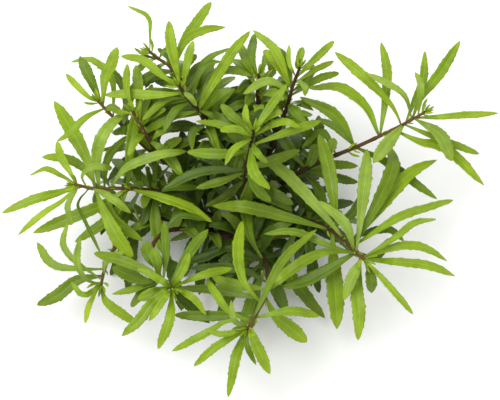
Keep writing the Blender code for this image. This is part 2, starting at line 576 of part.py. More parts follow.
def ease_apart(leaves, stems):
    """Bend crossing leaves away from each other, along the line of sight, in the order that they lie."""
    count = len(leaves)
    lines = [leaf["line"] for leaf in leaves]
    lines += [smooth_line(stem[::FINE_STEPS], LEAF_STEPS) for stem in stems.values()]
    lines = np.array(lines)
    stem_order = {name: count + index for index, name in enumerate(stems)}
    halves = np.zeros((len(lines), LEAF_STEPS + 1))
    sides = np.zeros(lines.shape)
    for index, leaf in enumerate(leaves):
        sides[index], _ = blade_frame(lines[index], leaf["roll"])
        halves[index] = np.array(LEAF_PROFILE) * leaf["width"] / 2

    spots = []
    for index in range(len(lines)):
        edges = (-1, 0, 1) if index < count else (0,)
        for step in range(LEAF_STEPS):
            for share in (0, 0.25, 0.5, 0.75):
                for edge in edges:
                    spots.append((index, step, share, edge))
    owner, step, share, edge = (np.array(column) for column in zip(*spots))
    owner = owner.astype(int)
    step = step.astype(int)

    def spot_places():
        here = lines[owner, step] + sides[owner, step] * (halves[owner, step] * edge)[:, None]
        there = lines[owner, step + 1] + sides[owner, step + 1] * (halves[owner, step + 1] * edge)[:, None]
        return here + (there - here) * share[:, None]

    across, down, depth = as_seen(spot_places())
    tree = kdtree.KDTree(len(spots))
    for index in range(len(spots)):
        tree.insert((across[index], down[index], 0), index)
    tree.balance()
    along = (step + share) / LEAF_STEPS
    own_stem = [stem_order[leaf["stem"]] for leaf in leaves] + list(range(count, len(lines)))
    first, second = [], []
    for index in range(len(spots)):
        for _, other, _ in tree.find_range((across[index], down[index], 0), CLOSE_IN_VIEW):
            if other <= index or owner[other] == owner[index]:
                continue
            if owner[index] >= count and owner[other] >= count:
                continue
            same_plant_stem = own_stem[owner[index]] == own_stem[owner[other]]
            if same_plant_stem and max(along[index], along[other]) < CLOSE_FEET_SHARE:
                continue
            if same_plant_stem and owner[other] >= count and along[index] < FOOT_SHARE:
                continue
            first.append(index)
            second.append(other)
    first = np.array(first)
    second = np.array(second)
    pair = owner[first] * len(lines) + owner[second]
    order = np.zeros(len(lines) ** 2)
    np.add.at(order, pair, depth[second] - depth[first])
    sign = np.where(order[pair] >= 0, 1, -1)

    bend = np.clip((np.arange(LEAF_STEPS + 1) / LEAF_STEPS - STIFF_FOOT) / BEND_SHARE, 0, 1)
    rays = lines - np.array(EYE)
    rays /= np.linalg.norm(rays, axis=2)[:, :, None]
    for _ in range(EASING_ROUNDS):
        _, _, depth = as_seen(spot_places())
        lack = np.clip(CLEARANCE - sign * (depth[second] - depth[first]), 0, 2 * CLEARANCE)
        push = np.zeros(halves.shape)
        weight = np.full(halves.shape, 1e-9)
        for side_sign, spot in ((-1, first), (1, second)):
            for offset, part in ((0, 1 - share[spot]), (1, share[spot])):
                place_index = (owner[spot], step[spot] + offset)
                np.add.at(push, place_index, side_sign * sign * lack * part * lack)
                np.add.at(weight, place_index, part * lack)
        shift = 0.5 * push / weight
        shift[:, 1:-1] = (shift[:, :-2] + 2 * shift[:, 1:-1] + shift[:, 2:]) / 4
        shift *= bend
        shift[count:] = 0
        lines = lines + rays * shift[:, :, None]
        sunk = np.clip(LOWEST - lines[:, :, 2], 0, None)
        sunk[count:] = 0
        lines = lines + rays * (sunk / rays[:, :, 2])[:, :, None]
    for index, leaf in enumerate(leaves):
        leaf["line"] = lines[index]


def inner_leaf(stem, share, turn, index):
    """Middle line of a leaf of an inner whorl, turned round its stem and drooping to its tip."""
    spot = int(share * (len(stem) - 1))
    base = leaf_foot(stem[spot], index)
    ahead = (Vector(stem[spot + 1]) - Vector(stem[spot - 1])).normalized()
    level = ahead.cross(Vector((0, 0, 1))).normalized()
    over = level.cross(ahead)
    out = ahead * math.cos(INNER_LEAF_SPREAD)
    out += (level * math.cos(turn) + over * math.sin(turn)) * math.sin(INNER_LEAF_SPREAD)
    length = INNER_LEAF_LENGTH * (1 + INNER_LENGTH_CHANGE * math.sin(1.9 * index))
    middle = base + out * INNER_LEAF_CREST * length + Vector((0, 0, 0.2 * INNER_LEAF_DROOP * length))
    tip = base + out * length - Vector((0, 0, INNER_LEAF_DROOP * length))
    middle.z = max(middle.z, LOWEST)
    tip.z = max(tip.z, LOWEST)
    return smooth_line([base, middle, tip], LEAF_STEPS)


def blade_spots(line, width, roll):
    """Points all over a blade, and how far along it each of them lies."""
    fine = smooth_line(line, ROOM_STEPS)
    side, _ = blade_frame(fine, roll)
    shares = np.linspace(0, 1, ROOM_STEPS + 1)
    half = np.interp(shares, np.linspace(0, 1, LEAF_STEPS + 1), LEAF_PROFILE) * width / 2
    edges = np.array((-1, -0.5, 0, 0.5, 1))
    points = fine[:, None] + side[:, None] * (half[:, None] * edges)[:, :, None]
    return points.reshape(-1, 3), np.repeat(shares, len(edges))


class Thicket:
    """What already grows: points of leaves and stems to keep clear of, and leaves to stay beneath."""

    def __init__(self, leaves, stems):
        self.spots = []
        self.lows = []
        self.highs = []
        for leaf in leaves:
            self.add(*blade_spots(leaf["line"], leaf["width"], leaf["roll"]), leaf["stem"])
        outer = np.concatenate([points for points, _, _ in self.spots])
        self.outer_view = np.stack(as_seen(outer), axis=1)
        for name, line in stems.items():
            self.add(line, np.zeros(len(line)), name)

    def add(self, points, shares, stem):
        self.spots.append((points, shares, stem))
        self.lows.append(points.min(axis=0))
        self.highs.append(points.max(axis=0))

    def is_clear(self, points, shares, stem, room):
        """Whether points keep clear of all but their own stem and its leaves' feet."""
        over_crown = np.hypot(points[:, 0], points[:, 1]) < CROWN_REACH + room
        if np.any(over_crown & (points[:, 2] < CROWN_HEIGHT + room)):
            return False
        low = points.min(axis=0) - room
        high = points.max(axis=0) + room
        boxes_meet = np.all((np.array(self.lows) < high) & (np.array(self.highs) > low), axis=1)
        for index in np.flatnonzero(boxes_meet):
            other_points, other_shares, other_stem = self.spots[index]
            near = np.all((other_points > low) & (other_points < high), axis=1)
            if not near.any():
                continue
            gaps = np.linalg.norm(points[:, None] - other_points[near][None], axis=2)
            if other_stem == stem:
                at_foot = np.maximum(shares[:, None], other_shares[near][None]) < FOOT_SHARE
                gaps[at_foot] = np.inf
            if gaps.min() < room:
                return False
        return True

    def is_beneath(self, points, shares):
        """Whether points, but for the foot, lie beneath every outer leaf that they cross in view."""
        blade = points[shares > FOOT_SHARE]
        view = np.stack(as_seen(blade), axis=1)
        low = view[:, :2].min(axis=0) - COVER_PIXELS
        high = view[:, :2].max(axis=0) + COVER_PIXELS
        near = np.all((self.outer_view[:, :2] > low) & (self.outer_view[:, :2] < high), axis=1)
        if not near.any():
            return True
        apart = view[:, None] - self.outer_view[near][None]
        crossing = np.hypot(apart[:, :, 0], apart[:, :, 1]) < COVER_PIXELS
        return not np.any(crossing & (apart[:, :, 2] < 0))

    def take_in(self, leaf, room):
        """Sink a leaf away from the eye until it has room, and say whether it found any."""
        rays = leaf["line"] - np.array(EYE)
        rays /= np.linalg.norm(rays, axis=1)[:, None]
        bend = np.clip(np.arange(LEAF_STEPS + 1) / LEAF_STEPS / BEND_SHARE, 0, 1)[:, None]
        start = leaf["line"]
        for step in range(SINK_STEPS):
            line = start + rays * bend * (SINK_STEP * step)
            if line[:, 2].min() < LOWEST:
                return False
            points, shares = blade_spots(line, leaf["width"], leaf["roll"])
            if self.is_beneath(points, shares) and self.is_clear(points, shares, leaf["stem"], room):
                leaf["line"] = line
                self.add(points, shares, leaf["stem"])
                return True
        return False


def new_inner_leaf(stem, line, width, index):
    """The record of an inner leaf."""
    roll = LEAF_ROLL * math.sin(ROLL_CHANGE * index)
    return {"stem": stem, "name": None, "line": line, "width": width, "roll": roll, "inner": True}


def add_inner_leaves(leaves, stems, thicket, room):
    """Add the traced inner leaves, each as deep in the plant as it needs."""
    for stem, entries in INNER_LEAVES.items():
        for traced, width, arch, lift in entries:
            line = traced_leaf(stems[stem], traced, arch, lift, len(leaves))
            leaf = new_inner_leaf(stem, line, width * MM, len(leaves))
            if thicket.take_in(leaf, room):
                leaves.append(leaf)


def add_inner_whorls(leaves, stems, thicket, spacing, turns, room):
    """Grow leaves of the inner whorls where they have room."""
    for stem, last_share in INNER_WHORLS_TO.items():
        length = np.linalg.norm(np.diff(stems[stem], axis=0), axis=1).sum()
        whorls = int((last_share - INNER_WHORLS_FROM) * length / spacing) + 1
        for whorl, share in enumerate(np.linspace(INNER_WHORLS_FROM, last_share, whorls)):
            for turn in turns:
                line = inner_leaf(stems[stem], share, turn + INNER_WHORL_TURN * (whorl % 2), len(leaves))
                leaf = new_inner_leaf(stem, line, INNER_LEAF_WIDTH, len(leaves))
                if thicket.take_in(leaf, room):
                    leaves.append(leaf)


def plain_material(name, colour, roughness):
    """A Principled material of one colour."""
    material = bpy.data.materials.new(name)
    material.use_nodes = True
    shader = material.node_tree.nodes["Principled BSDF"]
    shader.inputs["Base Color"].default_value = (*colour, 1)
    shader.inputs["Roughness"].default_value = roughness
    shader.inputs["Metallic"].default_value = 0
    return material


CROWN_BARK = plain_material("crown_bark", (0.075, 0.042, 0.024), 0.85)
SHOOT_GREEN = plain_material("shoot_green", (0.15, 0.24, 0.04), 0.6)
LEAF_GREEN = plain_material("leaf_green", (0.26, 0.40, 0.05), 0.5)


def new_piece(name, mesh_data, material, guide=False):
    """An object from a bmesh, or a guide that only cuts or joins."""
    mesh = bpy.data.meshes.new(name)
    bmesh.ops.recalc_face_normals(mesh_data, faces=mesh_data.faces)
    bmesh.ops.triangulate(mesh_data, faces=mesh_data.faces)
    mesh_data.to_mesh(mesh)
    mesh_data.free()
    mesh.materials.append(material)
    piece = bpy.data.objects.new(name, mesh)
    bpy.context.scene.collection.objects.link(piece)
    if guide:
        piece.hide_render = True
        piece.display_type = "WIRE"
    return piece


def skin_rings(rings, end_point=None):
    """A closed skin over rings of points, with flat ends or a pointed one."""
    skin = bmesh.new()
    loops = [[skin.verts.new(point) for point in ring] for ring in rings]
    sides = len(loops[0])
    for lower, upper in zip(loops, loops[1:]):
        for index in range(sides):
            after = (index + 1) % sides
            skin.faces.new((lower[index], lower[after], upper[after], upper[index]))
    skin.faces.new(loops[0])
    if end_point is None:
        skin.faces.new(loops[-1])
    else:
        tip = skin.verts.new(end_point)
        for index in range(sides):
            skin.faces.new((loops[-1][index], loops[-1][(index + 1) % sides], tip))
    return skin


def crown_skin(grow):
    """The knotty crown, cut off flat at the ground, grown outwards by a small amount."""
    rings = []
    for radius_share, height_share in CROWN_PROFILE:
        ring = []
        for index in range(CROWN_SIDES):
            angle = 2 * math.pi * index / CROWN_SIDES
            knot = CROWN_KNOTS[0] * math.sin(3 * angle + 4 * height_share)
            knot += CROWN_KNOTS[1] * math.sin(5 * angle - 2)
            radius = CROWN_RADIUS * radius_share * (1 + knot) + grow
            height = CROWN_HEIGHT * height_share + (grow if height_share else -grow)
            ring.append((radius * math.cos(angle), radius * math.sin(angle), height))
        rings.append(ring)
    return skin_rings(rings)


def tube(line, radii):
    """A closed tube of flat sides along a line."""
    ahead = np.gradient(line, axis=0)
    ring_list = []
    across = Vector(ahead[0]).orthogonal().normalized()
    for point, direction, radius in zip(line, ahead, radii):
        direction = Vector(direction).normalized()
        across = (across - across.dot(direction) * direction).normalized()
        other = direction.cross(across)
        ring = []
        for index in range(STEM_SIDES):
            angle = 2 * math.pi * index / STEM_SIDES
            outward = math.cos(angle) * across + math.sin(angle) * other
            ring.append(Vector(point) + outward * float(radius))
        ring_list.append(ring)
    return skin_rings(ring_list)


def leaf_skin(line, width, roll, steps):
    """A thin closed blade, hollow above, with a keel below and sharp margins."""
    side, up = blade_frame(line, roll)
    rings = []
    for step in steps:
        half = LEAF_PROFILE[step] * width / 2
        keel = LEAF_KEEL * (1 - KEEL_TAPER * step / LEAF_STEPS)
        middle = line[step]
        edge_lift = LEAF_FOLD * half * up[step]
        ring = [
            middle - side[step] * half + edge_lift,
            middle - up[step] * keel,
            middle + side[step] * half + edge_lift,
        ]
        rings.append(ring)
    return skin_rings(rings, line[-1])


def clear_of_stem(line, stem):
    """The leaf's line from where its foot stands clear of its stem."""
    fine = smooth_line(line, 200)
    shares = np.linspace(0, 1, len(stem))
    for index, point in enumerate(fine):
        distances = np.linalg.norm(stem - point, axis=1)
        nearest = np.argmin(distances)
        if distances[nearest] > stem_radius(shares[nearest]) + GAP + FOOT_CLEARANCE:
            return smooth_line(fine[index:], LEAF_STEPS)
    return line


def cut_or_join(piece, operation, operand=None, group=None):
    """An exact Boolean with one guide, or with every guide in a group."""
    modifier = piece.modifiers.new(operation.lower(), "BOOLEAN")
    modifier.solver = "EXACT"
    modifier.operation = operation
    modifier.use_self = True
    if group is None:
        modifier.object = operand
    else:
        modifier.operand_type = "COLLECTION"
        modifier.collection = group


def build_crown():
    """The crown, and the guide a little larger than it that trims the stems."""
    new_piece("crown", crown_skin(0), CROWN_BARK)
    return new_piece("crown_room", crown_skin(GAP), CROWN_BARK, guide=True)


def build_stems(stems, leaves, crown_room):
    """Each stem, trimmed at its foot and joined with its smaller leaves."""
    for name, line in stems.items():
        coarse = line[::FINE_STEPS]
        radii = [stem_radius(share) for share in np.linspace(0, 1, len(coarse))]
        stem = new_piece(f"{name}_stem", tube(coarse, radii), SHOOT_GREEN)
        if name in FORKS:
            parent_line = stems[FORKS[name]][::FINE_STEPS]
            parent_radii = [stem_radius(share) + GAP for share in np.linspace(0, 1, len(parent_line))]
            room = new_piece(f"{name}_fork_room", tube(parent_line, parent_radii), SHOOT_GREEN, guide=True)
            cut_or_join(stem, "DIFFERENCE", operand=room)
        else:
            cut_or_join(stem, "DIFFERENCE", operand=crown_room)
        group = bpy.data.collections.new(f"{name}_small_leaves")
        bpy.context.scene.collection.children.link(group)
        own = [leaf for leaf in leaves if leaf["stem"] == name and leaf["name"] is None]
        for number, leaf in enumerate(own, 1):
            steps = INNER_LEAF_STEPS if leaf.get("inner") else SMALL_LEAF_STEPS
            skin = leaf_skin(leaf["line"], leaf["width"], leaf["roll"], steps)
            guide = new_piece(f"{name}_small_leaf_{number}", skin, LEAF_GREEN, guide=True)
            bpy.context.scene.collection.objects.unlink(guide)
            group.objects.link(guide)
        cut_or_join(stem, "UNION", group=group)


def build_large_leaves(stems, leaves):
    """Each large leaf, a piece of its own just clear of its stem."""
    for leaf in leaves:
        if leaf["name"]:
            line = clear_of_stem(leaf["line"], stems[leaf["stem"]])
            skin = leaf_skin(line, leaf["width"], leaf["roll"], LARGE_LEAF_STEPS)
            new_piece(leaf["name"], skin, LEAF_GREEN)


stem_lines = {name: stem_line(name) for name in STEMS}
leaf_list = all_leaves(stem_lines)
ease_apart(leaf_list, stem_lines)
growing = Thicket(leaf_list, stem_lines)
add_inner_leaves(leaf_list, stem_lines, growing, INNER_LEAF_ROOM)
add_inner_whorls(leaf_list, stem_lines, growing, INNER_WHORL_SPACING, INNER_LEAF_TURNS, INNER_LEAF_ROOM)
crown_guide = build_crown()
build_stems(stem_lines, leaf_list, crown_guide)
build_large_leaves(stem_lines, leaf_list)
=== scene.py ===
"""Pogostemon quadrifolius, an emersed clump of thirteen arching shoots on one cut root crown."""

import math

import bpy
import numpy as np
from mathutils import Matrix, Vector, kdtree, noise


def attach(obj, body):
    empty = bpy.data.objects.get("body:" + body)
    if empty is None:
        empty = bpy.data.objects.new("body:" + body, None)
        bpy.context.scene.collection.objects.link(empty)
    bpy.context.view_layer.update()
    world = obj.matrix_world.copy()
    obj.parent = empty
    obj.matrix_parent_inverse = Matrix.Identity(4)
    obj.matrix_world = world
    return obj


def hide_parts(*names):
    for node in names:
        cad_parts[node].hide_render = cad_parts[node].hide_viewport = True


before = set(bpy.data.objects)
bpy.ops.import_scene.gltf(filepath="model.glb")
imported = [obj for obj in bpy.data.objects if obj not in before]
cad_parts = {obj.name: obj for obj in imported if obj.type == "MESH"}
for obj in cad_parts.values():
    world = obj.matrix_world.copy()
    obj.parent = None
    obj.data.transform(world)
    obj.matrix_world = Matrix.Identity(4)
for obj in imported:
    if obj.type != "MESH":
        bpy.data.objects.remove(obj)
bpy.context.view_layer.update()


# Camera, floor and light
# The plant is seen from the front and from 60 degrees above, on a plain white sheet,
# under one broad soft lamp at the upper left and two weaker ones that fill its shadows.
MM = 0.001
VIEW_STEEPNESS = math.radians(60)
VIEW_DISTANCE = 0.95
VIEW_TARGET = Vector((0, 0, 0.040))
PIXEL_SIZE = 0.55 * MM
MIDDLE_PIXEL = (250, 200)
SENSOR_WIDTH = 36
EYE_DIRECTION = Vector((0, -math.cos(VIEW_STEEPNESS), math.sin(VIEW_STEEPNESS)))
EYE = VIEW_TARGET + VIEW_DISTANCE * EYE_DIRECTION
VIEW_RIGHT = Vector((1, 0, 0))
VIEW_UP = EYE_DIRECTION.cross(VIEW_RIGHT)


def place(across, down, height):
    """The point at a height that the photograph shows at a pixel."""
    aim = VIEW_TARGET + VIEW_RIGHT * (across - MIDDLE_PIXEL[0]) * PIXEL_SIZE
    aim = aim + VIEW_UP * (MIDDLE_PIXEL[1] - down) * PIXEL_SIZE
    ray = aim - EYE
    return EYE + ray * ((height - EYE.z) / ray.z)


bpy.ops.object.select_all(action="DESELECT")
bpy.ops.object.camera_add(location=EYE, rotation=(math.radians(90) - VIEW_STEEPNESS, 0, 0))
camera = bpy.context.object
camera.name = "photo_camera"
camera.data.sensor_width = SENSOR_WIDTH
camera.data.lens = SENSOR_WIDTH * VIEW_DISTANCE / (2 * MIDDLE_PIXEL[0] * PIXEL_SIZE)
camera.data.clip_start = 0.01
bpy.context.scene.camera = camera

for lamp_name, lamp_place, lamp_size, lamp_power in (
    ("key_lamp", (-0.55, -0.15, 1.15), 0.9, 15),
    ("fill_lamp", (0.85, -0.55, 0.95), 1.0, 5),
    ("back_lamp", (0.10, 1.05, 0.70), 0.8, 4),
):
    turn = (VIEW_TARGET - Vector(lamp_place)).to_track_quat("-Z", "Y").to_euler()
    bpy.ops.object.light_add(type="AREA", location=lamp_place, rotation=turn)
    lamp = bpy.context.object
    lamp.name = lamp_name
    lamp.data.size = lamp_size
    lamp.data.energy = lamp_power

world = bpy.data.worlds.new("studio")
world.use_nodes = True
daylight = world.node_tree.nodes["Background"]
daylight.inputs["Color"].default_value = (1.0, 1.0, 1.0, 1)
daylight.inputs["Strength"].default_value = 0.5
bpy.context.scene.world = world
bpy.context.scene.view_settings.view_transform = "Standard"

bpy.ops.mesh.primitive_plane_add(size=6, location=(0, 0, -0.0005))
sheet = bpy.context.object
sheet.name = "white_sheet"
sheet_material = bpy.data.materials.new("white_sheet")
sheet_material.use_nodes = True
sheet_shader = sheet_material.node_tree.nodes["Principled BSDF"]
sheet_shader.inputs["Base Color"].default_value = (0.93, 0.93, 0.92, 1)
sheet_shader.inputs["Roughness"].default_value = 0.9
sheet_shader.inputs["Specular IOR Level"].default_value = 0.1
sheet.data.materials.append(sheet_material)


# Root crown
# The woody foot that all shoots spring from: dark cork-like tissue, knotted by old shoots
# and cut off flat where it grew. A ball is flattened and cut, then its knots are raised.
CROWN_RADIUS = 17 * MM
CROWN_HEIGHT = 14 * MM
CROWN_REACH = 1.15 * CROWN_RADIUS
CROWN_SHRINK = 0.97
KNOT_DEPTHS = (0.07, 0.05)
LUMPS_PER_METRE = 170
LUMP_DEPTH = 0.055
LUMP_RISE = 0.04
FURROWS = 11
FURROW_DEPTH = 0.07
CROWN_DARK = (0.030, 0.016, 0.009, 1)
CROWN_LIGHT = (0.135, 0.078, 0.040, 1)


def set_inputs(tree, node, inputs):
    """Give sockets their values: each is a number or colour, or a node and which of its outputs."""
    for socket, value in inputs.items():
        if isinstance(value, tuple) and isinstance(value[0], bpy.types.Node):
            tree.links.new(value[0].outputs[value[1]], node.inputs[socket])
        else:
            node.inputs[socket].default_value = value


def add_node(tree, kind, inputs, **settings):
    """A node with its settings and its inputs."""
    node = tree.nodes.new(kind)
    for key, value in settings.items():
        setattr(node, key, value)
    set_inputs(tree, node, inputs)
    return node


def calculate(tree, operation, *inputs, **settings):
    """The result of a Math node."""
    return add_node(tree, "ShaderNodeMath", dict(enumerate(inputs)), operation=operation, **settings), 0


def mix_colours(tree, share, first, second, blend="MIX"):
    """The result of a colour mix."""
    inputs = {0: share, 6: first, 7: second}
    return add_node(tree, "ShaderNodeMix", inputs, data_type="RGBA", blend_type=blend), 2


def new_mottle():
    """Shader group: soft cloudy patches and fine grain, as a shade to multiply by and a height."""
    group = bpy.data.node_groups.new("plant_mottle", "ShaderNodeTree")
    for name, value in (("Patch Scale", 90.0), ("Grain Scale", 1500.0), ("Strength", 0.2)):
        socket = group.interface.new_socket(name=name, in_out="INPUT", socket_type="NodeSocketFloat")
        socket.default_value = value
    for name in ("Shade", "Height"):
        group.interface.new_socket(name=name, in_out="OUTPUT", socket_type="NodeSocketFloat")
    entry = group.nodes.new("NodeGroupInput")
    where = group.nodes.new("ShaderNodeTexCoord")
    noises = []
    for scale, detail, roughness in (("Patch Scale", 3.0, 0.55), ("Grain Scale", 2.0, 0.6)):
        texture = add_node(group, "ShaderNodeTexNoise", {"Detail": detail, "Roughness": roughness})
        set_inputs(group, texture, {"Vector": (where, "Object"), "Scale": (entry, scale)})
        noises.append((texture, "Fac"))
    patches, grain = noises
    mixed = calculate(group, "MULTIPLY_ADD", grain, 0.35, patches)
    centred = calculate(group, "SUBTRACT", mixed, 0.675)
    shade = calculate(group, "MULTIPLY_ADD", centred, (entry, "Strength"), 1.0)
    add_node(group, "NodeGroupOutput", {"Shade": shade, "Height": grain})
    return group


plant_mottle = new_mottle()


def new_finish(name, mottling):
    """A material with its Principled shader, its bump and its mottle group in place."""
    material = bpy.data.materials.new(name)
    material.use_nodes = True
    tree = material.node_tree
    shader = tree.nodes["Principled BSDF"]
    mottle = add_node(tree, "ShaderNodeGroup", mottling, node_tree=plant_mottle)
    bump = add_node(tree, "ShaderNodeBump", {"Height": (mottle, "Height")})
    set_inputs(tree, shader, {"Normal": (bump, "Normal")})
    return material, tree, shader, mottle, bump


def bark_colour(tree, mottle, dark, light):
    """A colour between dark and light bark, by the patches of the mottle."""
    share = calculate(tree, "SUBTRACT", (mottle, "Shade"), 0.5, use_clamp=True)
    return mix_colours(tree, share, dark, light)


def dress(piece, material, node):
    """Give a piece its material, and let it stand for its node of the CAD model."""
    piece.data.materials.clear()
    piece.data.materials.append(material)
    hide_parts(node)
    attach(piece, "root")


crown_material, tree, shader, mottle, bump = new_finish("root_bark", {"Patch Scale": 260.0, "Strength": 1.6})
crown_bark = bark_colour(tree, mottle, CROWN_DARK, CROWN_LIGHT)
set_inputs(tree, shader, {"Base Color": crown_bark, "Roughness": 0.85})
set_inputs(tree, bump, {"Strength": 0.8, "Distance": 0.6 * MM})

bpy.ops.object.select_all(action="DESELECT")
bpy.ops.mesh.primitive_uv_sphere_add(segments=144, ring_count=80, radius=1, location=(0, 0, 0))
crown = bpy.context.object
crown.name = "root_crown"
bpy.ops.transform.resize(value=(CROWN_SHRINK * CROWN_RADIUS, CROWN_SHRINK * CROWN_RADIUS, CROWN_HEIGHT))
bpy.ops.object.transform_apply(location=True, rotation=True, scale=True)
bpy.ops.object.mode_set(mode="EDIT")
bpy.ops.mesh.select_all(action="SELECT")
bpy.ops.mesh.bisect(plane_co=(0, 0, 0), plane_no=(0, 0, 1), use_fill=True, clear_inner=True)
bpy.ops.object.mode_set(mode="OBJECT")
for vertex in crown.data.vertices:
    x, y, z = vertex.co
    angle = math.atan2(y, x)
    three_knots = KNOT_DEPTHS[0] * math.sin(3 * angle + 4 * z / CROWN_HEIGHT)
    five_knots = KNOT_DEPTHS[1] * math.sin(5 * angle - 2)
    knot = 1 + three_knots + five_knots
    lump = noise.fractal(Vector((x, y, z)) * LUMPS_PER_METRE, 0.8, 2.1, 4)
    furrow = abs(math.sin(FURROWS * angle + 2.5 * lump))
    ridge = 1 + LUMP_DEPTH * lump - FURROW_DEPTH * (1 - furrow) ** 3
    vertex.co = (x * knot * ridge, y * knot * ridge, z * CROWN_SHRINK * (1 + LUMP_RISE * lump))
bpy.ops.object.shade_smooth()
dress(crown, crown_material, "crown")


# Stems
# Each shoot's stem: a thin round stalk of reddish brown, slightly swollen at every whorl and
# covered in short pale down. Its route is read from the photograph, and it is drawn as a
# round-bevelled curve that springs from inside the crown or from the stem that it forks from.
STEM_RADIUS_LOW = 1.7 * MM
STEM_RADIUS_BUD = 0.8 * MM
STEM_STEPS = 9
FINE_STEPS = 12
STEM_DRAWN_STEPS = 90
CURVE_POINTS = 12
WHORL_SPACING = 11 * MM
WHORL_SWELL = 0.22
WHORL_SWELL_REACH = 0.09
STEM_SHRINK = 0.98
STEM_BROWN = (0.070, 0.030, 0.010, 1)
STEM_TAN = (0.220, 0.140, 0.040, 1)
CROWNWARD_STEM = (0.014, 0.009, 0.004, 1)

# Pixel across, pixel down and height in mm, from the crown to the bud
STEMS = {
    "west": [
        (203, 212, 22), (185, 203, 31), (158, 191, 41), (128, 189, 47),
        (108, 188, 49), (86, 189, 51), (74, 184, 54),
    ],
    "west_low": [
        (200, 229, 11), (180, 222, 15), (150, 219, 21), (127, 232, 27),
        (113, 250, 33), (104, 271, 38), (101, 285, 41),
    ],
    "south_west": [
        (208, 233, 22), (180, 229, 35), (160, 235, 45), (152, 250, 50),
        (157, 270, 55), (167, 286, 59), (173, 289, 62),
    ],
    "south": [
        (250, 242, 30), (262, 255, 40), (268, 274, 48), (266, 294, 54),
        (258, 311, 58), (251, 322, 62), (247, 330, 64),
    ],
    "south_east": [
        (275, 222, 28), (300, 219, 40), (329, 229, 48), (343, 239, 52),
        (353, 250, 55), (362, 257, 58), (366, 261, 60),
    ],
    "east": [
        (270, 195, 32), (300, 172, 50), (336, 155, 56), (356, 147, 59),
        (380, 136, 63), (402, 125, 68), (415, 118, 73), (425, 112, 78),
    ],
    "centre": [
        (243, 216, 34), (244, 197, 54), (246, 170, 75), (250, 150, 89),
        (254, 130, 101),
    ],
    "north_east": [
        (260, 178, 30), (272, 147, 48), (282, 120, 63), (288, 104, 73),
        (291, 91, 81), (296, 79, 87), (300, 67, 92),
    ],
    "north_tall": [
        (237, 184, 28), (220, 152, 50), (207, 123, 68), (199, 111, 75),
        (190, 101, 81), (181, 91, 87), (178, 84, 91),
    ],
    "north_west": [
        (216, 190, 26), (190, 176, 39), (155, 155, 50), (127, 130, 66),
        (113, 117, 72), (101, 106, 77), (97, 100, 81),
    ],
    "mid_west": [
        (168, 158, 52), (154, 146, 64), (141, 127, 76), (132, 110, 84),
    ],
    "north_twig": [
        (196, 104, 60), (182, 83, 68), (172, 68, 73), (160, 60, 78),
        (149, 51, 83),
    ],
    "north": [
        (266, 122, 58), (258, 100, 70), (258, 84, 79), (259, 74, 84),
    ],
}
FORKS = {"mid_west": "north_west", "north_twig": "north_tall", "north": "north_east"}


def steps_along(line):
    """Lengths of the steps of a line."""
    return np.linalg.norm(np.diff(line, axis=0), axis=1)


def resample(line, places, wanted):
    """Points of a line at wanted places, where its own points lie at the places given."""
    return np.stack([np.interp(wanted, places, line[:, axis]) for axis in range(3)], axis=1)


def smooth_line(points, steps):
    """Even steps along a smooth curve through the points."""
    points = [Vector(point) for point in points]
    padded = [2 * points[0] - points[1]] + points + [2 * points[-1] - points[-2]]
    fine = []
    for index in range(1, len(padded) - 2):
        before, start, end, after = padded[index - 1:index + 3]
        for share in np.linspace(0, 1, CURVE_POINTS, endpoint=False):
            bend = (2 * start + (end - before) * share
                    + (2 * before - 5 * start + 4 * end - after) * share ** 2
                    + (3 * start - before - 3 * end + after) * share ** 3)
            fine.append(bend / 2)
    fine.append(points[-1])
    fine = np.array(fine)
    walked = np.concatenate([[0], np.cumsum(steps_along(fine))])
    return resample(fine, walked, np.linspace(0, walked[-1], steps + 1))


def stem_line(name):
    """Middle line of a stem, from the crown's heart or from the stem that it forks from."""
    traced = [place(across, down, height * MM) for across, down, height in STEMS[name]]
    if name in FORKS:
        parent = stem_line(FORKS[name])
        start = Vector(min(parent, key=lambda point: (Vector(point) - traced[0]).length))
    else:
        start = Vector((0, 0, 0.4 * CROWN_HEIGHT))
    rings = smooth_line([start] + traced, STEM_STEPS)
    wanted = np.linspace(0, STEM_STEPS, STEM_STEPS * FINE_STEPS + 1)
    return resample(rings, range(STEM_STEPS + 1), wanted)


def draw_stem(name, line):
    """A stem as a bevelled curve made into a mesh, with a swelling at each whorl."""
    drawn = smooth_line(line[::FINE_STEPS], STEM_DRAWN_STEPS)
    length = steps_along(drawn).sum()
    bpy.ops.object.select_all(action="DESELECT")
    bpy.ops.curve.primitive_nurbs_path_add(location=(0, 0, 0))
    stem = bpy.context.object
    stem.name = f"{name}_stem_bark"
    stem.data.splines.clear()
    spline = stem.data.splines.new("POLY")
    spline.points.add(STEM_DRAWN_STEPS)
    for step, point in enumerate(drawn):
        share = step / STEM_DRAWN_STEPS
        from_whorl = (share * length / WHORL_SPACING + 0.5) % 1 - 0.5
        swell = 1 + WHORL_SWELL * math.exp(-(from_whorl / WHORL_SWELL_REACH) ** 2)
        radius = STEM_RADIUS_LOW + (STEM_RADIUS_BUD - STEM_RADIUS_LOW) * share
        spline.points[step].co = (*point, 1)
        spline.points[step].radius = swell * radius / MM
    stem.data.dimensions = "3D"
    stem.data.bevel_depth = STEM_SHRINK * MM
    stem.data.bevel_resolution = 4
    stem.data.use_fill_caps = True
    bpy.ops.object.convert(target="MESH")
    bpy.ops.object.shade_smooth()
    return bpy.context.object


def smooth_step(tree, source, start, end, top):
    """The result of a smooth step from 0 to a top, as a source goes from start to end."""
    inputs = {"Value": source, "From Min": start, "From Max": end, "To Max": top}
    return add_node(tree, "ShaderNodeMapRange", inputs, interpolation_type="SMOOTHSTEP"), 0


mottling = {"Patch Scale": 140.0, "Grain Scale": 2600.0, "Strength": 1.2}
stem_material, tree, shader, mottle, bump = new_finish("stem_skin", mottling)
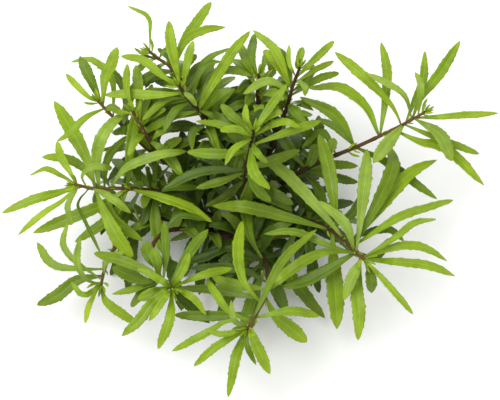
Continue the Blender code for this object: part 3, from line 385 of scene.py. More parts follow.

# The nearer a stem runs to the plant's axis, towards the crown, the darker its skin
where = tree.nodes.new("ShaderNodeTexCoord")
inputs = {0: (where, "Object"), 1: (1, 1, 0)}
level = add_node(tree, "ShaderNodeVectorMath", inputs, operation="MULTIPLY")
outward = add_node(tree, "ShaderNodeVectorMath", {0: (level, 0)}, operation="LENGTH")
crownward_share = smooth_step(tree, (outward, "Value"), 95 * MM, 35 * MM, 0.85)
stem_bark = mix_colours(tree, crownward_share, bark_colour(tree, mottle, STEM_BROWN, STEM_TAN), CROWNWARD_STEM)
set_inputs(tree, shader, {"Base Color": stem_bark, "Roughness": 0.7, "Specular IOR Level": 0.1})
set_inputs(tree, bump, {"Strength": 0.5, "Distance": 0.2 * MM})

stem_lines = {name: stem_line(name) for name in STEMS}
for name, line in stem_lines.items():
    dress(draw_stem(name, line), stem_material, f"{name}_stem")


# Traced leaves
# Long lance-shaped blades in whorls, soft and slightly fleshy. Each grows from its stem along
# a line read from the photograph, the large ones as pieces of their own. Where two cross, they
# are bent apart along the line of sight, which leaves the photograph's view as it is.
LEAF_STEPS = 10
LEAF_PROFILE = (0.15, 0.25, 0.40, 0.57, 0.74, 0.89, 0.98, 1.0, 0.94, 0.74, 0.0)
LEAF_ROLL = math.radians(16)
ROLL_CHANGE = 2.4
FOOT_OFFSET = 0.25 * MM
FOOT_TURNS = (2.4, 3.1, 1.7)
FACING_VIEW = 0.35
LOWEST = 1.2 * MM
CLEARANCE = 2.6 * MM
CLOSE_IN_VIEW = 5.0
EASING_ROUNDS = 160
EASING_PACE = 0.5
FOOT_SHARE = 0.25
CLOSE_FEET_SHARE = 0.2
STIFF_FOOT = 0.02
BEND_SHARE = 0.4

# Pixels from base to tip; then width, height of the arch and tip above base, in mm; then tone:
# Y L B C M N D from young to dark, the darker ones partly old leaf colour and partly painted shade, G greyed
# by a painted sheen that in part stands for a paler underside seen from below, O olive-brown
LARGE_LEAVES = {
    "west": [
        ([(84, 188), (60, 192), (30, 201), (2, 213)], 5.2, 4, -4, "B"),
        ([(127, 190), (100, 206), (65, 220), (33, 233)], 6.9, 2, -14, "B"),
        ([(95, 190), (106, 215), (118, 238), (133, 257)], 7.3, 2, -16, "B"),
        ([(95, 188), (88, 162), (71, 129), (54, 101)], 7.3, 6, 0, "B"),
        ([(98, 186), (97, 155), (106, 130), (127, 111)], 6.5, 12, 24, "G"),
    ],
    "west_low": [
        ([(105, 268), (80, 269), (52, 264), (37, 242)], 4.7, 4, 0, "G"),
        ([(103, 276), (78, 280), (58, 295), (37, 305)], 6.5, 1, -16, "N"),
        ([(101, 285), (106, 301), (125, 316), (140, 325)], 4.7, 2, -10, "L"),
    ],
    "south_west": [
        ([(173, 289), (158, 277), (145, 270), (120, 260), (94, 253)], 5.6, 8, 0, "N"),
        ([(168, 289), (152, 303), (140, 319), (122, 336)], 5.6, 5, -8, "B"),
        ([(171, 289), (170, 318), (158, 349)], 5.2, 6, -8, "C"),
        ([(168, 286), (190, 252), (208, 229)], 6.0, 4, 2, "M"),
    ],
    "south": [
        ([(252, 320), (262, 300), (283, 260), (317, 229)], 4.7, 5, 4, "N"),
        ([(254, 318), (290, 311), (319, 316)], 4.7, 6, -6, "B"),
        ([(249, 326), (256, 345), (270, 374)], 5.6, 4, -10, "B"),
        ([(251, 322), (243, 338), (236, 358), (228, 397)], 5.2, 5, -16, "B"),
    ],
    "south_east": [
        ([(343, 239), (325, 216), (290, 178), (262, 157)], 6.9, 4, 2, "G"),
        ([(356, 252), (361, 215), (366, 170), (367, 149)], 6.5, 5, 4, "G"),
        ([(350, 246), (385, 200), (412, 172), (437, 160)], 6.9, 6, -6, "B"),
        ([(350, 247), (400, 217), (430, 207), (453, 200)], 5.6, 4, -8, "B"),
        ([(365, 260), (400, 262), (430, 266), (455, 276)], 4.7, 3, -8, "B"),
        ([(360, 256), (357, 290), (359, 315), (358, 340)], 6.5, 4, -14, "B"),
        ([(332, 231), (334, 275), (336, 305), (337, 329)], 8.6, 2, -20, "B"),
    ],
    "east": [
        ([(380, 136), (365, 106), (340, 88), (309, 88)], 6.9, 5, 6, "B"),
        ([(380, 136), (386, 95), (387, 70), (381, 42)], 5.2, 4, 6, "B"),
        ([(402, 125), (392, 106), (365, 78), (335, 52)], 5.6, 6, 10, "B"),
        ([(412, 120), (421, 98), (440, 73), (460, 41)], 5.6, 6, 6, "B"),
        ([(415, 118), (455, 116), (498, 113)], 4.7, 5, 0, "B"),
        ([(415, 119), (440, 135), (452, 161)], 6.5, 5, -8, "G"),
        ([(394, 129), (420, 142), (446, 149), (484, 185)], 6.0, 3, -12, "B"),
    ],
    "centre": [
        ([(254, 130), (268, 110), (287, 84)], 4.7, 5, 6, "B"),
        ([(251, 146), (285, 133), (321, 121)], 4.7, 6, 2, "M"),
        ([(249, 150), (220, 154), (187, 152)], 5.2, 5, 0, "C"),
    ],
    "north_east": [
        ([(291, 90), (276, 52), (253, 30)], 5.2, 6, 2, "B"),
        ([(296, 79), (312, 62), (334, 41)], 4.3, 6, 4, "B"),
        ([(291, 92), (268, 81), (243, 94)], 4.7, 8, 0, "G"),
    ],
    "north_tall": [
        ([(180, 90), (176, 68), (171, 45), (169, 21)], 5.6, 4, 6, "L"),
        ([(184, 94), (155, 95), (130, 94), (104, 95)], 5.2, 5, -6, "B"),
        ([(199, 111), (215, 80), (232, 53), (250, 31)], 6.0, 8, 8, "B"),
        ([(180, 91), (160, 74), (142, 60), (121, 56)], 5.2, 6, 4, "B"),
    ],
    "north_west": [
        ([(101, 106), (105, 80), (111, 65), (117, 47)], 6.5, 4, 2, "B"),
        ([(104, 109), (85, 118), (70, 133), (57, 141)], 4.3, 5, -8, "B"),
    ],
    "mid_west": [
        ([(139, 124), (139, 95), (136, 65)], 5.6, 4, 0, "C"),
    ],
    "north_twig": [
        ([(172, 68), (183, 42), (200, 18), (211, 2)], 5.6, 6, 4, "B"),
        ([(174, 70), (185, 41), (205, 30), (226, 27)], 4.7, 8, 2, "B"),
    ],
    "north": [
        ([(258, 80), (252, 58), (254, 34)], 5.2, 4, 0, "M"),
    ],
}
SMALL_LEAVES = {
    "west": [
        ([(78, 186), (62, 201), (42, 214), (18, 235)], 3.6, 5, -6, "L"),
        ([(77, 185), (60, 175), (46, 169), (30, 175)], 3.1, 6, -4, "L"),
        ([(76, 185), (70, 172), (61, 157), (57, 141)], 4.3, 5, 4, "B"),
        ([(79, 187), (68, 204), (69, 214), (72, 225)], 3.4, 7, 0, "G"),
        ([(91, 189), (105, 194), (118, 203), (131, 213)], 4.5, 8, 2, "G"),
        ([(98, 188), (82, 167), (62, 158), (42, 157)], 5.2, 3, -6, "B"),
        ([(128, 190), (115, 213), (98, 227), (75, 242)], 6.0, 1, -16, "M"),
        ([(90, 189), (78, 203), (84, 219), (101, 254)], 2.1, 2, -10, "M"),
        ([(86, 188), (82, 176), (92, 167), (112, 168)], 3.3, 10, 6, "G"),
        ([(110, 188), (125, 169), (155, 156), (187, 151)], 5.2, 14, 14, "G"),
        ([(131, 189), (160, 197), (188, 207), (212, 222)], 6.0, 4, -4, "B"),
        ([(128, 189), (129, 160), (133, 130), (140, 103)], 6.0, 12, 26, "C"),
        ([(158, 190), (180, 187), (202, 188)], 4.3, 4, 0, "N"),
        ([(108, 189), (113, 218), (143, 241)], 5.6, 0, -18, "C"),
        ([(104, 188), (108, 158), (127, 136)], 4.7, 1, -6, "M"),
        ([(157, 190), (155, 210), (157, 232), (163, 254)], 6.5, 1, -14, "M"),
    ],
    "west_low": [
        ([(101, 283), (86, 279), (77, 262), (80, 237)], 3.4, 8, 10, "G"),
        ([(101, 280), (74, 260), (63, 243), (68, 222)], 3.4, 6, 6, "G"),
        ([(101, 285), (84, 295), (71, 282)], 3.1, 8, 4, "B"),
        ([(100, 286), (90, 303), (85, 323)], 3.1, 4, -8, "Y"),
        ([(103, 275), (106, 262), (125, 250)], 4.3, 8, 8, "G"),
    ],
    "south_west": [
        ([(173, 289), (160, 280), (148, 273), (137, 269)], 4.1, 7, 6, "C"),
        ([(159, 275), (145, 281), (112, 267)], 6.9, 1, -8, "M"),
        ([(168, 288), (155, 292), (138, 299)], 5.2, 4, -4, "M"),
        ([(163, 280), (130, 290), (112, 294)], 4.0, 1, -12, "B"),
        ([(162, 279), (143, 292), (131, 307)], 4.7, 0, -14, "D"),
        ([(171, 289), (158, 308), (149, 321)], 3.6, 5, -2, "L"),
        ([(169, 287), (193, 298), (206, 315)], 3.4, 5, -6, "B"),
        ([(165, 284), (188, 305), (210, 323)], 5.7, 1, -14, "D"),
        ([(172, 289), (183, 270), (189, 253)], 4.5, 6, 6, "C"),
        ([(163, 280), (166, 255), (164, 221)], 4.5, 2, 0, "M"),
        ([(172, 288), (200, 276), (233, 268)], 4.5, 6, -2, "C"),
        ([(154, 256), (180, 268), (188, 268)], 4.7, 2, -6, "D"),
        ([(160, 236), (180, 216), (205, 220)], 4.3, 5, 0, "D"),
    ],
    "south": [
        ([(266, 296), (275, 315), (290, 328), (307, 342)], 6.9, 1, -18, "B"),
        ([(247, 330), (247, 345), (256, 365)], 2.8, 3, -8, "M"),
        ([(247, 329), (217, 346), (194, 366)], 4.3, 5, -8, "B"),
        ([(248, 327), (228, 321), (205, 334), (172, 351)], 4.3, 6, -10, "B"),
        ([(247, 330), (222, 334), (205, 329)], 2.9, 4, 0, "C"),
        ([(248, 328), (234, 320), (231, 300)], 2.9, 8, 10, "G"),
        ([(252, 321), (230, 312), (217, 296), (207, 279)], 4.5, 4, 2, "C"),
        ([(256, 313), (215, 316), (174, 315)], 5.3, 2, -10, "M"),
        ([(262, 303), (243, 280), (238, 250), (242, 221)], 5.6, 4, 4, "C"),
        ([(267, 290), (230, 284), (212, 276)], 6.0, 2, -6, "B"),
        ([(264, 300), (215, 290), (178, 288)], 4.8, 0, -12, "D"),
        ([(265, 262), (250, 235), (246, 200), (250, 179)], 6.5, 2, 4, "M"),
    ],
    "south_east": [
        ([(330, 229), (290, 218), (245, 207), (212, 206)], 6.5, 3, 2, "N"),
        ([(354, 251), (345, 224), (319, 201)], 5.6, 6, 6, "G"),
        ([(352, 250), (383, 192), (393, 165), (390, 146)], 7.7, 4, -2, "N"),
        ([(362, 257), (393, 239), (415, 223), (436, 219)], 3.9, 7, 2, "B"),
        ([(362, 257), (400, 246), (425, 248), (447, 261)], 4.3, 6, -4, "B"),
        ([(364, 259), (390, 287), (413, 314)], 3.6, 6, -8, "L"),
        ([(364, 260), (370, 272), (372, 293)], 5.6, 4, -8, "N"),
        ([(362, 257), (352, 278), (344, 300)], 5.6, 5, -4, "G"),
        ([(358, 254), (330, 246), (295, 232), (264, 234)], 4.0, 7, 4, "M"),
        ([(356, 253), (325, 271), (305, 281), (282, 287)], 6.9, 0, -14, "N"),
        ([(356, 252), (325, 252), (295, 267), (265, 291)], 6.0, 2, -8, "B"),
        ([(338, 235), (333, 195), (328, 165), (319, 134)], 6.9, 6, 14, "M"),
        ([(328, 229), (318, 190), (305, 174)], 6.0, 1, -8, "N"),
        ([(300, 220), (285, 262), (305, 295), (325, 318)], 6.9, 0, -28, "D"),
        ([(344, 240), (385, 229), (404, 241)], 4.3, 2, -8, "M"),
    ],
    "east": [
        ([(356, 147), (335, 116), (300, 97)], 6.9, 1, 0, "M"),
        ([(356, 147), (335, 127), (318, 119)], 4.0, 3, 4, "M"),
        ([(412, 120), (402, 93), (366, 73)], 4.3, 10, 12, "G"),
        ([(405, 123), (414, 102), (423, 80), (425, 51)], 4.3, 4, 8, "B"),
        ([(418, 116), (421, 86), (415, 72)], 3.6, 6, 12, "G"),
        ([(403, 125), (437, 138), (479, 154)], 4.3, 3, -8, "B"),
        ([(403, 125), (388, 143), (373, 163)], 6.9, 3, -8, "G"),
        ([(336, 155), (322, 132), (302, 148)], 3.9, 3, -4, "M"),
        ([(300, 172), (330, 165), (358, 166)], 5.2, 1, -8, "M"),
        ([(305, 170), (335, 178), (358, 182)], 6.0, 0, -12, "D"),
        ([(306, 169), (290, 150), (275, 128)], 6.9, 1, -6, "D"),
    ],
    "centre": [
        ([(253, 133), (232, 116), (221, 104)], 4.7, 5, 2, "M"),
        ([(252, 140), (246, 119), (246, 104)], 3.6, 4, 4, "L"),
        ([(254, 131), (268, 117), (282, 111)], 3.3, 4, 2, "L"),
        ([(253, 136), (280, 122), (300, 127)], 4.1, 6, 2, "B"),
        ([(252, 140), (225, 126), (196, 121)], 4.5, 5, 0, "M"),
        ([(253, 136), (235, 129), (220, 130)], 4.5, 6, 4, "B"),
        ([(253, 138), (234, 149), (225, 165)], 3.4, 5, 2, "B"),
        ([(251, 146), (254, 172), (270, 189)], 5.3, 5, 0, "B"),
        ([(251, 143), (258, 154), (268, 163)], 3.8, 6, 4, "M"),
        ([(246, 170), (200, 172), (162, 190)], 5.6, 2, -12, "D"),
        ([(246, 172), (222, 181), (196, 188)], 4.7, 0, -8, "D"),
        ([(246, 172), (258, 190), (271, 202)], 5.6, 1, -4, "M"),
        ([(246, 170), (280, 158), (300, 150)], 5.6, 1, -8, "D"),
    ],
    "north_east": [
        ([(299, 70), (299, 60), (303, 47)], 4.0, 3, 4, "B"),
        ([(292, 89), (279, 66), (264, 50)], 5.2, 4, -4, "L"),
        ([(293, 86), (285, 60), (278, 47)], 4.7, 3, -2, "M"),
        ([(296, 79), (289, 62), (289, 45)], 2.6, 5, 6, "B"),
        ([(294, 84), (315, 70), (334, 61)], 3.3, 3, -4, "L"),
        ([(290, 93), (306, 80), (316, 66)], 3.4, 3, -4, "N"),
        ([(296, 79), (305, 87), (305, 96)], 3.6, 5, 2, "G"),
        ([(289, 97), (318, 79), (339, 73)], 4.3, 3, -6, "C"),
        ([(288, 104), (296, 112), (299, 124)], 6.0, 3, -4, "M"),
    ],
    "north_tall": [
        ([(181, 91), (186, 70), (189, 55), (193, 41)], 4.3, 7, 10, "B"),
        ([(182, 93), (165, 91), (145, 89)], 3.8, 2, -6, "D"),
        ([(182, 92), (190, 97), (197, 106)], 3.6, 6, 4, "G"),
        ([(186, 98), (165, 101), (142, 120)], 3.8, 5, -4, "M"),
        ([(190, 102), (175, 111), (163, 132)], 4.3, 3, -6, "M"),
        ([(199, 111), (170, 118), (139, 135)], 4.7, 5, -4, "M"),
        ([(198, 110), (210, 79), (230, 70), (252, 76)], 4.5, 9, 2, "G"),
        ([(190, 101), (205, 62), (230, 48)], 3.8, 3, 0, "N"),
        ([(184, 95), (205, 66), (221, 61)], 3.3, 7, 4, "M"),
        ([(195, 106), (205, 86), (212, 71)], 3.8, 3, -2, "D"),
        ([(205, 120), (214, 137), (220, 156)], 4.5, 5, -2, "C"),
        ([(207, 124), (193, 132), (192, 150)], 4.7, 2, -6, "D"),
        ([(199, 111), (209, 114), (217, 121)], 2.9, 6, 4, "M"),
    ],
    "north_west": [
        ([(98, 102), (90, 98), (78, 87), (66, 74)], 3.6, 6, 2, "L"),
        ([(101, 106), (92, 83), (86, 70), (80, 56)], 5.7, 3, 0, "M"),
        ([(113, 117), (112, 80), (92, 60), (71, 62)], 3.8, 2, -6, "B"),
        ([(104, 109), (113, 108), (124, 115)], 4.3, 4, 0, "C"),
        ([(127, 130), (124, 90), (110, 70), (97, 68)], 4.3, -2, -12, "N"),
    ],
    "mid_west": [
        ([(133, 113), (127, 90), (127, 64)], 3.8, 5, 4, "B"),
        ([(150, 140), (165, 152), (183, 177)], 6.0, 4, -8, "M"),
        ([(141, 127), (146, 105), (152, 84)], 3.8, 2, -4, "B"),
    ],
    "north_twig": [
        ([(150, 52), (150, 35), (148, 17), (128, 6)], 2.4, 5, 2, "B"),
        ([(158, 60), (165, 50), (176, 47)], 2.2, 3, 0, "M"),
        ([(160, 60), (147, 56), (134, 48)], 1.7, 1, -4, "O"),
    ],
    "north": [
        ([(258, 78), (247, 62), (241, 44)], 5.6, 2, -4, "C"),
        ([(259, 76), (264, 64), (264, 54)], 2.6, 4, 6, "M"),
        ([(259, 80), (272, 72), (268, 58)], 4.3, 1, -4, "M"),
    ],
}


def as_seen(points):
    """Pixels and distance from the eye of an array of points."""
    offset = points - np.array(EYE)
    depth = -(offset @ np.array(EYE_DIRECTION))
    scale = VIEW_DISTANCE / depth / PIXEL_SIZE
    across = offset @ np.array(VIEW_RIGHT) * scale + MIDDLE_PIXEL[0]
    down = MIDDLE_PIXEL[1] - offset @ np.array(VIEW_UP) * scale
    return across, down, depth


def leaf_foot(point, index):
    """A leaf's foot, a hair off the middle of its stem so that no two feet coincide."""
    across, along, upward = (turn * index for turn in FOOT_TURNS)
    off_axis = Vector((math.sin(across), math.cos(along), math.sin(upward)))
    return Vector(point) + off_axis * FOOT_OFFSET


def traced_leaf(stem, traced, arch, lift, index):
    """Middle line of a leaf: it starts on its stem and arches to its tip."""
    across, down, _ = as_seen(stem)
    nearest = np.argmin((across - traced[0][0]) ** 2 + (down - traced[0][1]) ** 2)
    base = leaf_foot(stem[min(nearest, len(stem) - 2)], index)
    runs = [0]
    for start, end in zip(traced, traced[1:]):
        runs.append(runs[-1] + math.dist(start, end))
    points = [base]
    for run, (pixel_across, pixel_down) in zip(runs[1:], traced[1:]):
        share = run / runs[-1]
        height = base.z + (lift * share + 4 * arch * share * (1 - share)) * MM
        points.append(place(pixel_across, pixel_down, max(height, LOWEST)))
    return smooth_line(points, LEAF_STEPS)


def blade_frame(line, roll):
    """Side and upward directions along a leaf, turned by its roll."""
    ahead = np.gradient(line, axis=0)
    ahead /= np.linalg.norm(ahead, axis=1)[:, None]
    facing = np.array(Vector((0, 0, 1)) + FACING_VIEW * EYE_DIRECTION)
    up = facing - (ahead @ facing)[:, None] * ahead
    surest = np.argmax(np.linalg.norm(up, axis=1))
    for order in (range(surest - 1, -1, -1), range(surest + 1, len(line))):
        known = up[surest]
        for step in order:
            known = known - (ahead[step] @ known) * ahead[step]
            up[step] = known
    up /= np.linalg.norm(up, axis=1)[:, None]
    side = np.cross(ahead, up)
    turned_side = side * math.cos(roll) + up * math.sin(roll)
    turned_up = up * math.cos(roll) - side * math.sin(roll)
    return turned_side, turned_up


def new_leaf(stem, line, width, index, name=None, tone=None):
    """The record of a leaf: its stem, its own name if it is large, its line, width, roll and tone."""
    roll = LEAF_ROLL * math.sin(ROLL_CHANGE * index)
    return {"stem": stem, "name": name, "line": line, "width": width, "roll": roll, "tone": tone}


def outer_leaves(stems):
    """The large leaves, then the small ones."""
    leaves = []
    for is_large, entries_by_stem in ((True, LARGE_LEAVES), (False, SMALL_LEAVES)):
        for stem, entries in entries_by_stem.items():
            for number, (traced, width, arch, lift, tone) in enumerate(entries, 1):
                line = traced_leaf(stems[stem], traced, arch, lift, len(leaves))
                name = f"{stem}_leaf_{number}" if is_large else None
                leaves.append(new_leaf(stem, line, width * MM, len(leaves), name, tone))
    return leaves


def ease_apart(leaves, stems):
    """Bend crossing leaves away from each other, along the line of sight, in the order that they lie."""
    count = len(leaves)
    lines = [leaf["line"] for leaf in leaves]
    lines += [smooth_line(stem[::FINE_STEPS], LEAF_STEPS) for stem in stems.values()]
    lines = np.array(lines)
    stem_order = {name: count + index for index, name in enumerate(stems)}
    halves = np.zeros((len(lines), LEAF_STEPS + 1))
    sides = np.zeros(lines.shape)
    for index, leaf in enumerate(leaves):
        sides[index], _ = blade_frame(lines[index], leaf["roll"])
        halves[index] = np.array(LEAF_PROFILE) * leaf["width"] / 2

    spots = []
    for index in range(len(lines)):
        edges = (-1, 0, 1) if index < count else (0,)
        for step in range(LEAF_STEPS):
            for share in (0, 0.25, 0.5, 0.75):
                for edge in edges:
                    spots.append((index, step, share, edge))
    owner, step, share, edge = (np.array(column) for column in zip(*spots))
    owner = owner.astype(int)
    step = step.astype(int)

    def spot_places():
        here = lines[owner, step] + sides[owner, step] * (halves[owner, step] * edge)[:, None]
        there = lines[owner, step + 1] + sides[owner, step + 1] * (halves[owner, step + 1] * edge)[:, None]
        return here + (there - here) * share[:, None]

    across, down, depth = as_seen(spot_places())
    tree = kdtree.KDTree(len(spots))
    for index in range(len(spots)):
        tree.insert((across[index], down[index], 0), index)
    tree.balance()
    along = (step + share) / LEAF_STEPS
    own_stem = [stem_order[leaf["stem"]] for leaf in leaves] + list(range(count, len(lines)))
    first, second = [], []
    for index in range(len(spots)):
        for _, other, _ in tree.find_range((across[index], down[index], 0), CLOSE_IN_VIEW):
            if other <= index or owner[other] == owner[index]:
                continue
            if owner[index] >= count and owner[other] >= count:
                continue
            same_stem = own_stem[owner[index]] == own_stem[owner[other]]
            if same_stem and max(along[index], along[other]) < CLOSE_FEET_SHARE:
                continue
            if same_stem and owner[other] >= count and along[index] < FOOT_SHARE:
                continue
            first.append(index)
            second.append(other)
    first = np.array(first)
    second = np.array(second)
    pair = owner[first] * len(lines) + owner[second]
    order = np.zeros(len(lines) ** 2)
    np.add.at(order, pair, depth[second] - depth[first])
    sign = np.where(order[pair] >= 0, 1, -1)

    bend = np.clip((np.arange(LEAF_STEPS + 1) / LEAF_STEPS - STIFF_FOOT) / BEND_SHARE, 0, 1)
    rays = lines - np.array(EYE)
    rays /= np.linalg.norm(rays, axis=2)[:, :, None]
    for _ in range(EASING_ROUNDS):
        _, _, depth = as_seen(spot_places())
        lack = np.clip(CLEARANCE - sign * (depth[second] - depth[first]), 0, 2 * CLEARANCE)
        push = np.zeros(halves.shape)
        weight = np.full(halves.shape, 1e-9)
        for side_sign, spot in ((-1, first), (1, second)):
            for offset, part in ((0, 1 - share[spot]), (1, share[spot])):
                place_index = (owner[spot], step[spot] + offset)
                np.add.at(push, place_index, side_sign * sign * lack * part * lack)
                np.add.at(weight, place_index, part * lack)
        shift = EASING_PACE * push / weight
        shift[:, 1:-1] = (shift[:, :-2] + 2 * shift[:, 1:-1] + shift[:, 2:]) / 4
        shift *= bend
        shift[count:] = 0
        lines = lines + rays * shift[:, :, None]
        sunk = np.clip(LOWEST - lines[:, :, 2], 0, None)
        sunk[count:] = 0
        lines = lines + rays * (sunk / rays[:, :, 2])[:, :, None]
    for index, leaf in enumerate(leaves):
        leaf["line"] = lines[index]


leaves = outer_leaves(stem_lines)
ease_apart(leaves, stem_lines)


# Inner leaves
# Older leaves under and between the outer ones, some of them seen through gaps and traced, the
# others grown in whorls by rule. Each sinks away from the eye until it has room.
INNER_LEAVES = {
    "west": [
        ([(157, 190), (155, 172), (151, 145)], 3.4, 2, -6),
        ([(110, 188), (103, 176), (93, 166)], 3.0, 4, 0),
        ([(128, 189), (112, 204), (101, 235)], 4.6, 2, -10),
        ([(175, 200), (193, 228), (170, 241)], 4.2, 2, -10),
        ([(158, 191), (178, 196), (198, 206)], 5.4, 6, -2),
        ([(98, 188), (96, 198), (97, 208)], 3.6, 1, -4),
    ],
    "west_low": [
        ([(127, 232), (140, 225), (158, 221)], 5.0, 6, 2),
    ],
    "south_west": [
        ([(190, 231), (175, 218), (150, 206)], 5.0, 3, -4),
        ([(152, 250), (135, 244), (112, 240)], 5.0, 2, -8),
        ([(152, 250), (150, 238), (158, 222)], 5.0, 7, 0),
    ],
    "south": [
        ([(252, 244), (222, 250), (205, 257), (185, 262)], 5.6, 3, -6),
        ([(267, 283), (243, 270), (215, 268), (190, 268)], 5.2, 3, -6),
        ([(266, 262), (272, 280), (276, 299)], 5.0, 0, -10),
        ([(264, 258), (290, 250), (318, 244)], 5.0, 3, -6),
    ],
    "south_east": [
        ([(300, 219), (285, 205), (272, 188)], 5.2, 3, -2),
        ([(353, 250), (375, 257), (390, 238)], 4.2, 1, -8),
        ([(329, 229), (352, 214), (361, 196)], 5.0, 2, -6),
        ([(315, 224), (300, 240), (278, 252)], 5.0, 1, -8),
    ],
    "east": [
        ([(356, 147), (388, 163), (412, 181), (437, 199)], 5.4, 2, -14),
        ([(318, 163), (300, 150), (290, 132)], 5.2, 3, -6),
        ([(336, 155), (352, 172), (366, 196)], 5.2, 2, -10),
        ([(300, 172), (318, 186), (340, 200)], 5.0, 1, -10),
        ([(285, 183), (300, 200), (322, 212)], 5.0, 1, -8),
        ([(336, 155), (318, 158), (300, 168)], 5.2, 7, -4),
    ],
    "centre": [
        ([(245, 180), (225, 197), (205, 206)], 5.2, 2, -10),
        ([(245, 182), (262, 172), (285, 168)], 5.2, 2, -8),
        ([(250, 150), (240, 160), (236, 178)], 4.6, 2, -6),
    ],
    "north_east": [
        ([(284, 115), (305, 130), (322, 150)], 6.0, 3, -8),
        ([(278, 132), (262, 120), (240, 118)], 5.0, 3, -4),
        ([(288, 104), (272, 100), (262, 90)], 4.6, 1, -6),
        ([(286, 110), (279, 122), (268, 136)], 5.0, 7, -6),
    ],
    "north_tall": [
        ([(199, 111), (192, 90), (197, 68)], 4.8, 1, -6),
        ([(212, 134), (190, 140), (170, 152)], 5.2, 3, -6),
        ([(216, 142), (235, 132), (255, 112)], 5.0, 3, -4),
        ([(207, 123), (214, 140), (226, 158)], 5.2, 7, -4),
        ([(203, 117), (212, 98), (226, 84)], 4.8, 1, -6),
        ([(210, 130), (222, 112), (242, 100)], 5.0, 2, -6),
        ([(190, 101), (172, 104), (156, 110)], 4.6, 1, -8),
    ],
    "north_west": [
        ([(140, 142), (120, 148), (100, 150)], 4.8, 3, -6),
        ([(155, 155), (150, 138), (158, 118)], 4.8, 2, -6),
        ([(170, 164), (160, 175), (140, 182)], 4.8, 2, -8),
        ([(113, 117), (130, 127), (150, 136)], 5.4, 7, 4),
        ([(108, 112), (122, 106), (134, 94)], 4.6, 2, -6),
        ([(127, 130), (146, 146), (166, 155)], 5.4, 7, 2),
    ],
    "north_twig": [
        ([(182, 83), (168, 84), (152, 78)], 4.2, 2, -8),
        ([(178, 76), (170, 60), (158, 48)], 3.8, 2, -4),
    ],
    "mid_west": [
        ([(150, 140), (165, 130), (180, 128)], 5.0, 2, -6),
        ([(146, 134), (128, 138), (112, 150)], 5.0, 2, -8),
        ([(138, 121), (148, 135), (156, 152)], 5.0, 7, 0),
    ],
}
INNER_LEAF_ROOM = 2.5 * MM
SINK_STEP = 2.5 * MM
SINK_STEPS = 12
COVER_PIXELS = 2.5
ROOM_STEPS = 22

# The whorls on the inner stretch of each stem: from one share of its length to another, a leaf
# grows at each turn where it has room
INNER_WHORLS_FROM = 0.22
INNER_WHORLS_TO = {
    "west": 0.66, "west_low": 0.55, "south_west": 0.60, "south": 0.55, "south_east": 0.52, "east": 0.50,
    "centre": 0.84, "north_east": 0.62, "north_tall": 0.66, "north_west": 0.66, "mid_west": 0.60,
}
INNER_WHORL_SPACING = 24 * MM
INNER_LEAF_TURNS = (-0.25, 1.55, 3.35)
INNER_LEAF_LENGTH = 33 * MM
INNER_LEAF_WIDTH = 5.5 * MM
INNER_LEAF_SPREAD = math.radians(64)
INNER_LEAF_DROOP = 0.22
INNER_LEAF_CREST = 0.55
INNER_LENGTH_CHANGE = 0.15
INNER_WHORL_TURN = 0.5
# More whorls in the same places, between those
FILL_WHORL_SPACING = 5.5 * MM
FILL_LEAF_TURNS = (0.3, 1.1, 1.9, 2.8, 3.9, 5.4)
FILL_LEAF_ROOM = 1.2 * MM


def inner_leaf(stem, share, turn, index):
    """Middle line of a leaf of an inner whorl, turned round its stem and drooping to its tip."""
    spot = int(share * (len(stem) - 1))
    base = leaf_foot(stem[spot], index)
    ahead = (Vector(stem[spot + 1]) - Vector(stem[spot - 1])).normalized()
    level = ahead.cross(Vector((0, 0, 1))).normalized()
    over = level.cross(ahead)
    out = ahead * math.cos(INNER_LEAF_SPREAD)
    out += (level * math.cos(turn) + over * math.sin(turn)) * math.sin(INNER_LEAF_SPREAD)
    length = INNER_LEAF_LENGTH * (1 + INNER_LENGTH_CHANGE * math.sin(1.9 * index))
    middle = base + out * INNER_LEAF_CREST * length + Vector((0, 0, 0.2 * INNER_LEAF_DROOP * length))
    tip = base + out * length - Vector((0, 0, INNER_LEAF_DROOP * length))
    middle.z = max(middle.z, LOWEST)
    tip.z = max(tip.z, LOWEST)
    return smooth_line([base, middle, tip], LEAF_STEPS)


def blade_spots(line, width, roll):
    """Points all over a blade, and how far along it each of them lies."""
    fine = smooth_line(line, ROOM_STEPS)
    side, _ = blade_frame(fine, roll)
    shares = np.linspace(0, 1, ROOM_STEPS + 1)
    half = np.interp(shares, np.linspace(0, 1, LEAF_STEPS + 1), LEAF_PROFILE) * width / 2
    edges = np.array((-1, -0.5, 0, 0.5, 1))
    points = fine[:, None] + side[:, None] * (half[:, None] * edges)[:, :, None]
    return points.reshape(-1, 3), np.repeat(shares, len(edges))


